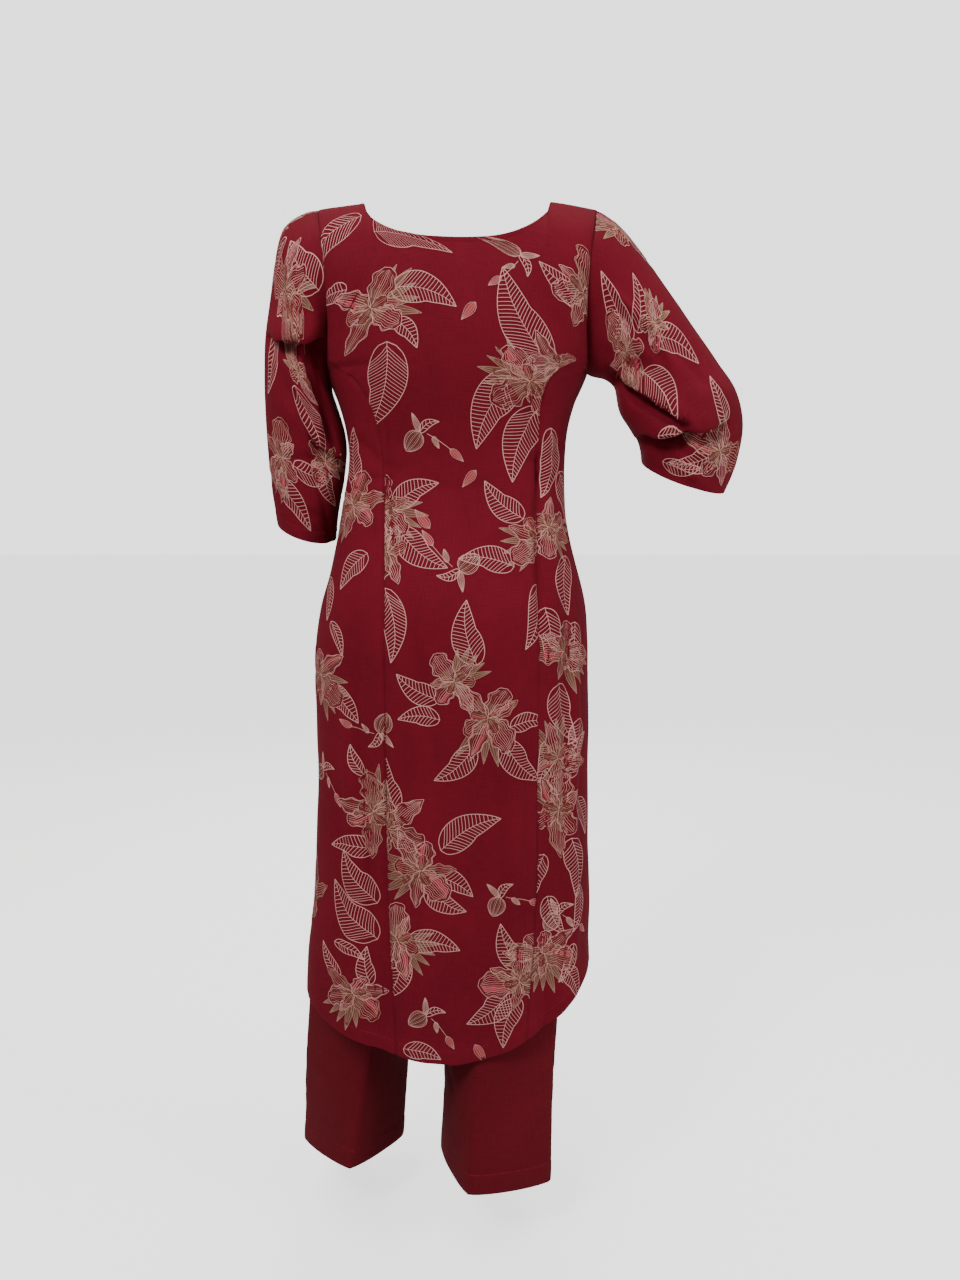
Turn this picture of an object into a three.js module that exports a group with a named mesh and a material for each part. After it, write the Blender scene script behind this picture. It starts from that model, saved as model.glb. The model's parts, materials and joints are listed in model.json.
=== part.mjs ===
// Salwar suit: a fitted kurta with three-quarter sleeves over straight trousers, worn hollow.
// Millimetres, +Z up, the back faces +Y and the wearer's left is +X. The origin lies midway
// between the two points where the shoulder seams meet the neckline.
// Each cut piece is a grid of points on the garment's form, closed into a wall of cloth.

import * as THREE from 'three';

// ---------- driving sizes ----------
const WALL = 1.5;                  // thickness of the cloth
const SEAM_GAP = 0.3;              // space between two sewn pieces

const NECK_HALF_WIDTH = 124;
const NECK_DEPTH_BACK = 67;
const NECK_DEPTH_FRONT = 106;
const NECK_ROUNDNESS = 2.6;
const SHOULDER_HALF_WIDTH = 186;
const SHOULDER_DROP = 8;
const SHOULDER_ROUND = 62;         // height over which the back and chest roll onto the shoulder

const ARMHOLE_BOTTOM = -222;
const ARMHOLE_DEPTH = 60;          // reach of the armhole to the back and to the front
const UNDERARM_X = 176;
const ARMHOLE_INSET = 12;          // how far the armhole curves in between its two ends
const SEAM_START = 0.84;           // where the shaped back seam leaves the armhole, 0 top to 1 bottom

const SLIT_TOP = -632;
const SLIT_HEM_BACK = 28;          // how far the slit edges stand back and front at the hem
const SLIT_HEM_FRONT = 56;
const HEM_MIDDLE = -1158;
const HEM_CORNER = { left: -1080, right: -1035 };
const HEM_ROUNDNESS = 1.45;

const CROTCH = -660;
const BAND_TOP = -384;
const BAND_BOTTOM = -420;
const TROUSER_HEM = -1345;
const HIP_CLEARANCE = 1.0;         // between the kurta's wall and the trousers at the waistband
const HIP_EASE = 5;                // the same at the crotch

const SLIT_SPREAD = 0.8;           // below 1 the slits open quickly from their top
const SEAM_FLARE = { top: -900, length: 260 };   // where the shaped seams draw in to their hem place
const FOLD_START = { top: -560, length: 420 };   // where the skirt's folds grow from nothing
const FOLD_FADE = 8;               // folds fade out over this fraction (1 / 8) of the half width
const CHEST_START = 0.75;          // fraction of the front's height where its columns even out
const SLEEVE_HEAD = 5;             // the armhole's shape fades out over this fraction (1 / 5)
const RISE_EASE_START = 0.6;       // fraction of the rise where the hips pass into the thigh
const BODY_CROWD = 1.25;           // above 1 the rows lie closer together towards the armhole
const RISE_CROWD = 1.5;            // the same towards the crotch

// Grid of the pieces: columns across and rows along.
const BODY_ROWS = 25;
const YOKE_ROWS = 7;
const CENTRE_COLUMNS = 12;
const SIDE_COLUMNS = 7;
const FRONT_COLUMNS = 24;
const SLEEVE_ROWS = 16;
const LEG_COLUMNS = 8;
const LEG_ROWS = 16;
const RISE_ROWS = 6;
const BAND_COLUMNS = 32;

const KURTA_CLOTH = { color: 0x7c1a24, roughness: 0.85, metalness: 0 };
const TROUSER_CLOTH = { color: 0x5e1419, roughness: 0.85, metalness: 0 };

// ---------- section tables ----------
// Kurta, one row per level: reach to the wearer's left and right, to the back and to the front.
const BODY = [
  { z: 20, left: 186, right: 186, back: 66, front: 56 },
  { z: -60, left: 182, right: 182, back: 82, front: 74 },
  { z: -150, left: 176, right: 176, back: 95, front: 104 },
  { z: -222, left: 176, right: 176, back: 94, front: 124 },
  { z: -262, left: 163, right: 160, back: 88, front: 121 },
  { z: -300, left: 153, right: 150, back: 80, front: 108 },
  { z: -340, left: 148, right: 146, back: 75, front: 96 },
  { z: -390, left: 156, right: 147, back: 80, front: 94 },
  { z: -440, left: 166, right: 153, back: 93, front: 97 },
  { z: -485, left: 176, right: 164, back: 107, front: 100 },
  { z: -535, left: 189, right: 176, back: 118, front: 102 },
  { z: -585, left: 197, right: 181, back: 121, front: 102 },
  { z: -632, left: 200, right: 181, back: 119, front: 102 },
  { z: -760, left: 197, right: 182, back: 113, front: 108 },
  { z: -940, left: 203, right: 183, back: 109, front: 122 },
  { z: -1040, left: 215, right: 185, back: 107, front: 134 },
  { z: -1170, left: 219, right: 186, back: 104, front: 142 },
];
const BODY_ROUNDNESS = 2.35;

// Shaped back seams: level and distance from the middle.
const BACK_SEAMS = {
  left: { inset: 94, curve: 46, hem: 84 },
  right: { inset: 107, curve: 19, hem: 93 },
};

// Long soft folds of the skirt's back and front: place across, half width, and height at the hem.
const SKIRT_FOLDS = [
  { x: 150, width: 26, back: 4, front: -3 },
  { x: 104, width: 13, back: -5, front: 5 },
  { x: 52, width: 26, back: 3, front: -6 },
  { x: -18, width: 34, back: -4, front: 6 },
  { x: -78, width: 24, back: 4, front: -5 },
  { x: -116, width: 12, back: -7, front: 4 },
  { x: -150, width: 16, back: 6, front: -3 },
];

// Sleeves, one row per ring: the outer and the inner point seen from the back, the reach to the
// back and front, the middle's place from front to back, and how far the ring's back end sags.
const SLEEVE_LEFT = [
  { outX: 209, outZ: -15, inX: 183, inZ: -238, depth: 63, y: 1, sag: 0 },
  { outX: 231, outZ: -36, inX: 184, inZ: -250, depth: 65, y: 1, sag: 2 },
  { outX: 243, outZ: -78, inX: 182, inZ: -264, depth: 66, y: 2, sag: 4 },
  { outX: 251, outZ: -124, inX: 179, inZ: -282, depth: 64, y: 3, sag: 6 },
  { outX: 258, outZ: -172, inX: 176, inZ: -300, depth: 60, y: 4, sag: 8 },
  { outX: 261, outZ: -222, inX: 174, inZ: -322, depth: 56, y: 3, sag: 8 },
  { outX: 262, outZ: -272, inX: 173, inZ: -348, depth: 53, y: 1, sag: 8 },
  { outX: 261, outZ: -322, inX: 173, inZ: -376, depth: 50, y: -3, sag: 9 },
  { outX: 258, outZ: -372, inX: 174, inZ: -410, depth: 48, y: -9, sag: 11 },
  { outX: 252, outZ: -420, inX: 175, inZ: -446, depth: 47, y: -16, sag: 14 },
];
const SLEEVE_RIGHT = [
  { outX: -206, outZ: -20, inX: -183, inZ: -227, depth: 62, y: 1, sag: 0 },
  { outX: -224, outZ: -40, inX: -190, inZ: -228, depth: 64, y: 3, sag: 2 },
  { outX: -246, outZ: -68, inX: -199, inZ: -230, depth: 65, y: 5, sag: 4 },
  { outX: -270, outZ: -100, inX: -208, inZ: -235, depth: 64, y: 8, sag: 5 },
  { outX: -294, outZ: -133, inX: -215, inZ: -243, depth: 62, y: 12, sag: 6 },
  { outX: -320, outZ: -171, inX: -220, inZ: -256, depth: 60, y: 17, sag: 8 },
  { outX: -347, outZ: -210, inX: -227, inZ: -275, depth: 59, y: 21, sag: 10 },
  { outX: -372, outZ: -246, inX: -236, inZ: -295, depth: 59, y: 23, sag: 12 },
  { outX: -384, outZ: -290, inX: -244, inZ: -312, depth: 58, y: 21, sag: 14 },
  { outX: -378, outZ: -338, inX: -249, inZ: -328, depth: 56, y: 16, sag: 16 },
  { outX: -363, outZ: -378, inX: -252, inZ: -344, depth: 54, y: 10, sag: 18 },
];

// Largest folds of a sleeve: place along and round it (turns from the outer line over the back),
// spread along and round, and height. Negative is a hollow.
const SLEEVE_LEFT_FOLDS = [
  { along: 0.42, round: 0.22, long: 0.05, wide: 0.14, height: 6 },
  { along: 0.52, round: 0.28, long: 0.05, wide: 0.13, height: -7 },
  { along: 0.70, round: 0.36, long: 0.14, wide: 0.05, height: -4 },
  { along: 0.60, round: 0.78, long: 0.06, wide: 0.14, height: 5 },
  { along: 0.70, round: 0.74, long: 0.06, wide: 0.14, height: -5 },
];
const SLEEVE_RIGHT_FOLDS = [
  { along: 0.46, round: 0.36, long: 0.10, wide: 0.06, height: -6 },
  { along: 0.70, round: 0.22, long: 0.05, wide: 0.10, height: 6 },
  { along: 0.80, round: 0.20, long: 0.05, wide: 0.10, height: -8 },
  { along: 0.72, round: 0.72, long: 0.06, wide: 0.12, height: -5 },
];

// Trouser legs below the crotch: level, outer and inner edge, reach to the back and the front,
// the middle's place from front to back, the turn of the pressed creases, and how round it is.
const LEG_LEFT = [
  { z: -660, out: 189, in: 0.15, back: 90, front: 80, y: 0, turn: 0, round: 2.2 },
  { z: -720, out: 186, in: 7, back: 88, front: 80, y: 0, turn: -4, round: 2.0 },
  { z: -900, out: 194, in: 32, back: 90, front: 84, y: -12, turn: -12, round: 1.6 },
  { z: -1100, out: 222, in: 62, back: 84, front: 82, y: -26, turn: -18, round: 1.35 },
  { z: -1200, out: 230, in: 74, back: 82, front: 80, y: -30, turn: -14, round: 1.25 },
  { z: -1345, out: 236, in: 86, back: 81, front: 78, y: -31, turn: -3, round: 1.2 },
];
const LEG_RIGHT = [
  { z: -660, out: -172, in: -0.15, back: 90, front: 80, y: 0, turn: 0, round: 2.2 },
  { z: -720, out: -168, in: 1, back: 87, front: 80, y: 2, turn: 6, round: 2.0 },
  { z: -900, out: -156, in: 10, back: 82, front: 80, y: 12, turn: 16, round: 1.6 },
  { z: -1100, out: -146, in: 22, back: 77, front: 78, y: 22, turn: 24, round: 1.35 },
  { z: -1200, out: -143, in: 31, back: 78, front: 78, y: 27, turn: 27, round: 1.25 },
  { z: -1345, out: -141, in: 38, back: 80, front: 78, y: 32, turn: 28, round: 1.2 },
];

// ---------- small tools ----------
const mix = (a, b, f) => a + (b - a) * f;
const clamp01 = (f) => Math.min(1, Math.max(0, f));
const smooth = (f) => clamp01(f) ** 2 * (3 - 2 * clamp01(f));
const bell = (d) => Math.exp(-d * d);

// Value of one column at a level, by a smooth curve through the rows (key runs one way).
function track(rows, key, column, at) {
  const down = rows[0][key] > rows[rows.length - 1][key];
  const last = rows.length - 2;
  let i = 0;
  while (i < last && (down ? at < rows[i + 1][key] : at > rows[i + 1][key])) i += 1;
  const a = rows[i];
  const b = rows[i + 1];
  const before = rows[Math.max(0, i - 1)];
  const after = rows[Math.min(rows.length - 1, i + 2)];
  const span = b[key] - a[key];
  const f = clamp01((at - a[key]) / span);
  const slopeA = (b[column] - before[column]) / (b[key] - before[key]) * span;
  const slopeB = (after[column] - a[column]) / (after[key] - a[key]) * span;
  const f2 = f * f;
  const f3 = f2 * f;
  return (2 * f3 - 3 * f2 + 1) * a[column] + (f3 - 2 * f2 + f) * slopeA
    + (3 * f2 - 2 * f3) * b[column] + (f3 - f2) * slopeB;
}

// A sheet of points over columns and rows. A ring's last column is its first one again.
function sheet(name, columns, rows, cloth, pointAt, { ring = false, flip = 1 } = {}) {
  const points = [];
  for (let i = 0; i < columns + (ring ? 0 : 1); i += 1) {
    points.push([]);
    for (let j = 0; j <= rows; j += 1) points[i].push(pointAt(i / columns, j / rows, i, j));
  }
  const grid = { name, columns, rows, cloth, ring, flip, points };
  grid.normals = points.map((column, i) => column.map((_, j) => normalAt(grid, i, j)));
  return grid;
}

function neighbour(grid, i, step) {
  if (grid.ring) return (i + step + grid.columns) % grid.columns;
  return Math.min(grid.columns, Math.max(0, i + step));
}

function normalAt(grid, i, j) {
  const p = grid.points;
  const across = p[neighbour(grid, i, 1)][j].clone().sub(p[neighbour(grid, i, -1)][j]);
  const along = p[i][Math.min(grid.rows, j + 1)].clone().sub(p[i][Math.max(0, j - 1)]);
  if (across.length() < 1e-6) {
    const k = j < grid.rows / 2 ? j + 1 : j - 1;
    across.copy(p[neighbour(grid, i, 1)][k]).sub(p[neighbour(grid, i, -1)][k]);
  }
  return across.cross(along).multiplyScalar(grid.flip).normalize();
}

// Sew two edges of the same length: shared normals, and half the seam gap on either side.
function sew(edgeA, edgeB) {
  edgeA.forEach((a, k) => {
    const b = edgeB[k];
    const normal = a.grid.normals[a.i][a.j].clone().add(b.grid.normals[b.i][b.j]).normalize();
    const across = b.grid.points[b.si][b.sj].clone().sub(a.grid.points[a.si][a.sj]);
    across.addScaledVector(normal, -across.dot(normal)).normalize();
    a.grid.normals[a.i][a.j] = normal.clone();
    b.grid.normals[b.i][b.j] = normal.clone();
    a.shift = across.clone().multiplyScalar(-SEAM_GAP / 2);
    b.shift = across.clone().multiplyScalar(SEAM_GAP / 2);
  });
  [...edgeA, ...edgeB].forEach((v) => v.grid.points[v.i][v.j].add(v.shift));
}

// Vertices of one edge, each with its neighbour one step into the piece.
function columnEdge(grid, i) {
  const inner = i === 0 ? 1 : i - 1;
  return Array.from({ length: grid.rows + 1 }, (_, j) => ({ grid, i, j, si: inner, sj: j }));
}

// Close a sheet into a wall: outer points, inner points one wall inwards, and rims between.
function wallOf(grid) {
  const across = grid.columns + (grid.ring ? 0 : 1);
  const up = grid.rows + 1;
  const index = (i, j, inner) => ((i % across) * up + j) * 2 + inner;
  const position = [];
  for (let i = 0; i < across; i += 1) {
    for (let j = 0; j < up; j += 1) {
      const outer = grid.points[i][j];
      const inner = outer.clone().addScaledVector(grid.normals[i][j], -WALL);
      position.push(outer.x, outer.y, outer.z, inner.x, inner.y, inner.z);
    }
  }
  const faces = [];
  const reach = (a, b) => Math.hypot(...[0, 1, 2].map((k) => position[a * 3 + k] - position[b * 3 + k]));
  // Each four-sided face is split along its shorter diagonal, so that sewn rims match.
  const quad = (a, b, c, d) => {
    const split = reach(a, c) <= reach(b, d) ? [a, b, c, a, c, d] : [b, c, d, b, d, a];
    faces.push(...(grid.flip > 0 ? split : split.reverse()));
  };
  for (let i = 0; i < grid.columns; i += 1) {
    for (let j = 0; j < grid.rows; j += 1) {
      quad(index(i, j, 0), index(i + 1, j, 0), index(i + 1, j + 1, 0), index(i, j + 1, 0));
      quad(index(i, j, 1), index(i, j + 1, 1), index(i + 1, j + 1, 1), index(i + 1, j, 1));
    }
    quad(index(i, 0, 0), index(i, 0, 1), index(i + 1, 0, 1), index(i + 1, 0, 0));
    quad(index(i, grid.rows, 1), index(i, grid.rows, 0), index(i + 1, grid.rows, 0),
      index(i + 1, grid.rows, 1));
  }
  if (!grid.ring) {
    for (let j = 0; j < grid.rows; j += 1) {
      quad(index(0, j, 1), index(0, j, 0), index(0, j + 1, 0), index(0, j + 1, 1));
      quad(index(grid.columns, j, 0), index(grid.columns, j, 1), index(grid.columns, j + 1, 1),
        index(grid.columns, j + 1, 0));
    }
  }
  const geometry = new THREE.BufferGeometry();
  geometry.setAttribute('position', new THREE.Float32BufferAttribute(position, 3));
  geometry.setIndex(faces);
  geometry.computeVertexNormals();
  const mesh = new THREE.Mesh(geometry, new THREE.MeshStandardMaterial(grid.cloth));
  mesh.name = grid.name;
  return mesh;
}

// ---------- the kurta's form ----------
const ARMHOLE_MIDDLE = (ARMHOLE_BOTTOM - SHOULDER_DROP) / 2;
const ARMHOLE_HALF = (-SHOULDER_DROP - ARMHOLE_BOTTOM) / 2;
const SEAM_ANGLE = SEAM_START * Math.PI;

const armholeZ = (angle) => ARMHOLE_MIDDLE + ARMHOLE_HALF * Math.cos(angle);
const armholeAngle = (z) => {
  const down = clamp01((ARMHOLE_MIDDLE + ARMHOLE_HALF - z) / (2 * ARMHOLE_HALF));
  return Math.acos(1 - 2 * down);
};

// Half width of the body at the armhole edge.
function armholeX(z) {
  const down = clamp01((-SHOULDER_DROP - z) / (-SHOULDER_DROP - ARMHOLE_BOTTOM));
  return mix(SHOULDER_HALF_WIDTH, UNDERARM_X, down) - ARMHOLE_INSET * Math.sin(Math.PI * down);
}

const sideReach = (side, z) => (z > ARMHOLE_BOTTOM ? armholeX(z) : track(BODY, 'z', side, z));

// Place of the side edge from front to back: the armhole above, the closed seam, the slit below.
function edgeY(face, z) {
  if (z > ARMHOLE_BOTTOM) return ARMHOLE_DEPTH * Math.sin(armholeAngle(z));
  const open = clamp01((SLIT_TOP - z) / (SLIT_TOP - HEM_MIDDLE));
  return (face === 'back' ? SLIT_HEM_BACK : SLIT_HEM_FRONT) * open ** SLIT_SPREAD;
}

function shoulderLine(x) {
  const out = clamp01((Math.abs(x) - NECK_HALF_WIDTH) / (SHOULDER_HALF_WIDTH - NECK_HALF_WIDTH));
  return -SHOULDER_DROP * out;
}

function foldHeight(face, x, z) {
  const grow = smooth((FOLD_START.top - z) / FOLD_START.length);
  return grow * SKIRT_FOLDS.reduce((sum, f) => sum + f[face] * bell((x - f.x) / f.width), 0);
}

// A point of the back or front at a level, t from 1 at the wearer's left edge to -1 at the right.
function bodyPoint(face, t, z) {
  const reach = sideReach(t > 0 ? 'left' : 'right', z);
  const x = reach * t;
  const roll = clamp01((shoulderLine(x) - z) / SHOULDER_ROUND);
  const cap = Math.sqrt(1 - (1 - roll) ** 2);
  const deep = track(BODY, 'z', face, z) * cap;
  const edge = edgeY(face, z) * cap;
  const swell = clamp01(1 - Math.abs(t) ** BODY_ROUNDNESS) ** (1 / BODY_ROUNDNESS);
  const fade = clamp01((1 - Math.abs(t)) * FOLD_FADE);
  const y = mix(edge, deep, swell) + foldHeight(face, x, z) * fade;
  return new THREE.Vector3(x, face === 'back' ? y : -y, z);
}

// Level of the top edge: the scooped neckline, then the shoulder seam.
function topEdge(x, neckDepth) {
  const f = Math.abs(x) / NECK_HALF_WIDTH;
  if (f > 1 - 1e-6) return shoulderLine(x);
  return -neckDepth * (1 - f ** NECK_ROUNDNESS) ** (1 / NECK_ROUNDNESS);
}

// Level of the hem at t across: low in the middle, rounded up to each slit.
function hemZ(t) {
  const corner = t > 0 ? HEM_CORNER.left : HEM_CORNER.right;
  const round = (1 - Math.min(1, Math.abs(t)) ** HEM_ROUNDNESS) ** (1 / HEM_ROUNDNESS);
  return mix(corner, HEM_MIDDLE, round);
}

// Where the shaped back seam lies across, as t.
function seamT(side, z) {
  const { inset, curve, hem } = BACK_SEAMS[side];
  const start = armholeZ(SEAM_ANGLE);
  const straight = mix(inset, hem, smooth((SEAM_FLARE.top - z) / SEAM_FLARE.length));
  const x = straight + (armholeX(start) - straight) * Math.exp((z - start) / curve);
  return Math.min(1, x / sideReach(side, z));
}

const SEAM_TOP = armholeZ(SEAM_ANGLE);
// Rows lie closer together towards the armhole.
const rowPlace = (f) => 1 - (1 - f) ** BODY_CROWD;

// Hem of the back at one of its shaped seams, found on the seam itself.
function seamHem(side) {
  const sign = side === 'left' ? 1 : -1;
  let z = HEM_MIDDLE;
  for (let k = 0; k < 8; k += 1) z = hemZ(sign * seamT(side, z));
  return z;
}

function backCentre() {
  const hemLeft = seamHem('left');
  const hemRight = seamHem('right');
  const across = (up, f) => mix(seamT('left', mix(hemLeft, SEAM_TOP, up)),
    -seamT('right', mix(hemRight, SEAM_TOP, up)), f);
  return sheet('kurta_back_center', CENTRE_COLUMNS, BODY_ROWS + YOKE_ROWS, KURTA_CLOTH, (f, _, i, j) => {
    if (j <= BODY_ROWS) {
      const up = rowPlace(j / BODY_ROWS);
      return bodyPoint('back', across(up, f), mix(hemZ(across(0, f)), SEAM_TOP, up));
    }
    const edge = armholeZ(SEAM_ANGLE * (1 - (j - BODY_ROWS) / YOKE_ROWS));
    const rise = (edge - SEAM_TOP) / (-SHOULDER_DROP - SEAM_TOP);
    const t = 1 - 2 * f;
    return bodyPoint('back', t, mix(SEAM_TOP, topEdge(t * SHOULDER_HALF_WIDTH, NECK_DEPTH_BACK), rise));
  });
}

// Side of the back, from the shaped seam to the side seam; its top edge is the armhole's low end.
function backSide(side) {
  const sign = side === 'left' ? 1 : -1;
  const hem = seamHem(side);
  return sheet(`kurta_back_side_${side}`, SIDE_COLUMNS, BODY_ROWS, KURTA_CLOTH, (f, _, i, j) => {
    const up = rowPlace(j / BODY_ROWS);
    const seamRow = seamT(side, mix(hem, SEAM_TOP, up));
    const seamFoot = seamT(side, hem);
    const spread = (from) => Math.cos(Math.acos(from) * (1 - f));
    const top = armholeZ(mix(SEAM_ANGLE, Math.PI, f));
    return bodyPoint('back', sign * spread(seamRow), mix(hemZ(sign * spread(seamFoot)), top, up));
  }, { flip: -sign });
}

function front() {
  return sheet('kurta_front', FRONT_COLUMNS, BODY_ROWS + YOKE_ROWS, KURTA_CLOTH, (f, _, i, j) => {
    const round = Math.cos(Math.PI * f);
    const flat = 1 - 2 * f;
    if (j <= BODY_ROWS) {
      const up = rowPlace(j / BODY_ROWS);
      const t = mix(round, flat, smooth((up - CHEST_START) / (1 - CHEST_START)));
      return bodyPoint('front', t, mix(hemZ(round), ARMHOLE_BOTTOM, up));
    }
    const edge = armholeZ(Math.PI * (1 - (j - BODY_ROWS) / YOKE_ROWS));
    const rise = (edge - ARMHOLE_BOTTOM) / (-SHOULDER_DROP - ARMHOLE_BOTTOM);
    const top = topEdge(flat * SHOULDER_HALF_WIDTH, NECK_DEPTH_FRONT);
    return bodyPoint('front', flat, mix(ARMHOLE_BOTTOM, top, rise));
  }, { flip: -1 });
}

// ---------- sleeves ----------
// The armhole's vertices on the body, round from the shoulder over the back to the front.
function armholeLoop(side, centre, backPiece, frontPiece) {
  const left = side === 'left';
  const loop = [];
  const centreColumn = left ? 0 : CENTRE_COLUMNS;
  const frontColumn = left ? 0 : FRONT_COLUMNS;
  for (let j = BODY_ROWS + YOKE_ROWS; j > BODY_ROWS; j -= 1) {
    loop.push({ grid: centre, i: centreColumn, j, si: left ? 1 : CENTRE_COLUMNS - 1, sj: j });
  }
  for (let i = 0; i < SIDE_COLUMNS; i += 1) {
    loop.push({ grid: backPiece, i, j: BODY_ROWS, si: i, sj: BODY_ROWS - 1 });
  }
  for (let j = BODY_ROWS; j < BODY_ROWS + YOKE_ROWS; j += 1) {
    loop.push({ grid: frontPiece, i: frontColumn, j, si: left ? 1 : FRONT_COLUMNS - 1, sj: j });
  }
  return loop;
}

function sleeve(side, rings, folds, loop) {
  const sign = side === 'left' ? 1 : -1;
  const head = loop.map((v) => v.grid.points[v.i][v.j].clone());
  const angles = loop.map((_, k) => loopAngle(k));
  const rows = rings.map((ring, k) => ({ ...ring, key: (k + 1) / rings.length }));
  const first = { key: 0, outX: sign * SHOULDER_HALF_WIDTH, outZ: -SHOULDER_DROP, inX: sign * UNDERARM_X,
    inZ: ARMHOLE_BOTTOM, depth: ARMHOLE_DEPTH, y: 0, sag: 0 };
  const table = [first, ...rows];
  const at = (column, along) => track(table, 'key', column, along);
  return sheet(`sleeve_${side}`, loop.length, SLEEVE_ROWS, KURTA_CLOTH, (_, along, i) => {
    const angle = angles[i % loop.length];
    const cos = Math.cos(angle);
    const sin = Math.sin(angle);
    const puff = folds.reduce((sum, fold) => {
      const turn = Math.abs(angle / 2 / Math.PI - fold.round);
      const near = bell((along - fold.along) / fold.long) * bell(Math.min(turn, 1 - turn) / fold.wide);
      return sum + fold.height * near;
    }, 0);
    const outer = new THREE.Vector3(at('outX', along), 0, at('outZ', along));
    const inner = new THREE.Vector3(at('inX', along), 0, at('inZ', along));
    const middle = outer.clone().add(inner).multiplyScalar(0.5);
    const arm = outer.clone().sub(middle);
    const grow = 1 + puff / arm.length();
    const ring = middle.clone().addScaledVector(arm, cos * grow);
    ring.y += at('y', along) + (at('depth', along) + puff) * sin;
    ring.z -= at('sag', along) * sin;
    return head[i % loop.length].clone().lerp(ring, smooth(along * SLEEVE_HEAD));
  }, { ring: true, flip: -sign });
}

// Turn of the armhole's k-th vertex round the sleeve, in the same steps as the body's pieces.
function loopAngle(k) {
  if (k < YOKE_ROWS) return SEAM_ANGLE * k / YOKE_ROWS;
  if (k < YOKE_ROWS + SIDE_COLUMNS) return mix(SEAM_ANGLE, Math.PI, (k - YOKE_ROWS) / SIDE_COLUMNS);
  return Math.PI * (1 + (k - YOKE_ROWS - SIDE_COLUMNS) / YOKE_ROWS);
}

// Sew a sleeve to the armhole: the body keeps its place and the sleeve stands one gap off.
function sewSleeve(grid, loop) {
  const shifts = loop.map((v, k) => {
    const normal = v.grid.normals[v.i][v.j].clone().add(grid.normals[k][0]).normalize();
    const across = grid.points[k][1].clone().sub(v.grid.points[v.si][v.sj]);
    across.addScaledVector(normal, -across.dot(normal)).normalize();
    grid.normals[k][0] = normal.clone();
    v.grid.normals[v.i][v.j] = normal.clone();
    return across;
  });
  loop.forEach((v, k) => {
    grid.points[k][0].copy(v.grid.points[v.i][v.j]).addScaledVector(shifts[k], SEAM_GAP);
  });
}

// Where a sleeve's first ring meets two body pieces at once, all three share one normal.
function shareNormal(grid, k, body, flat) {
  const normal = grid.normals[k][0].clone();
  if (flat) flatten(normal, flat);
  grid.normals[k][0].copy(normal);
  body.forEach(([piece, i, j]) => piece.normals[i][j].copy(normal));
}

// ---------- trousers ----------
// Section of one leg's form at a level. Above the crotch it is one half of the hips' form, a
// little inside the kurta, and reaches across the middle, where the rise seam cuts it.
function legSection(side, z) {
  const sign = side === 'left' ? 1 : -1;
  const rows = side === 'left' ? LEG_LEFT : LEG_RIGHT;
  if (z < CROTCH) {
    const value = (column) => track(rows, 'z', column, z);
    return { out: value('out'), in: value('in'), back: value('back'), front: value('front'),
      y: value('y'), turn: THREE.MathUtils.degToRad(value('turn')), round: value('round') };
  }
  const down = clamp01((BAND_BOTTOM - z) / (BAND_BOTTOM - CROTCH));
  const ease = WALL + mix(HIP_CLEARANCE, HIP_EASE, smooth(down * 2));
  const hips = (column) => track(BODY, 'z', column, z) - ease;
  const thigh = smooth((down - RISE_EASE_START) / (1 - RISE_EASE_START));
  const out = sign * mix(hips(side), Math.abs(rows[0].out), thigh);
  return { out, in: -out * (1 - down ** 3), y: 0, turn: 0,
    back: mix(hips('back'), rows[0].back, smooth(down)),
    front: mix(hips('front'), rows[0].front, smooth(down)),
    round: mix(BODY_ROUNDNESS, rows[0].round, down) };
}

// A point of a leg's back or front, from 0 at the outer seam to 1 at the inseam or rise seam.
function legPoint(side, face, f, z) {
  const leg = legSection(side, z);
  const middle = (leg.out + leg.in) / 2;
  const half = (leg.out - leg.in) / 2;
  const t = Math.cos(Math.acos(Math.max(-1, -middle / half * (z < CROTCH ? Infinity : 1))) * f);
  const swell = (1 - Math.min(1, Math.abs(t)) ** leg.round) ** (1 / leg.round);
  const y = face === 'back' ? leg.back * swell : -leg.front * swell;
  const x = half * t;
  return new THREE.Vector3(middle + x * Math.cos(leg.turn) + y * Math.sin(leg.turn),
    leg.y - x * Math.sin(leg.turn) + y * Math.cos(leg.turn), z);
}

function trouserPanel(side, face) {
  const flip = (side === 'left' ? -1 : 1) * (face === 'back' ? -1 : 1);
  const grid = sheet(`trouser_${face}_${side}`, LEG_COLUMNS, LEG_ROWS + RISE_ROWS, TROUSER_CLOTH,
    (f, _, i, j) => {
      const z = j <= LEG_ROWS ? mix(TROUSER_HEM, CROTCH, j / LEG_ROWS)
        : mix(CROTCH, BAND_BOTTOM, ((j - LEG_ROWS) / RISE_ROWS) ** RISE_CROWD);
      return legPoint(side, face, f, z);
    }, { flip });
  grid.normals.forEach((column) => flatten(column[LEG_ROWS + RISE_ROWS], 'z'));
  return grid;
}

const flatten = (normal, axis) => normal.setComponent('xyz'.indexOf(axis), 0).normalize();

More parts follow.
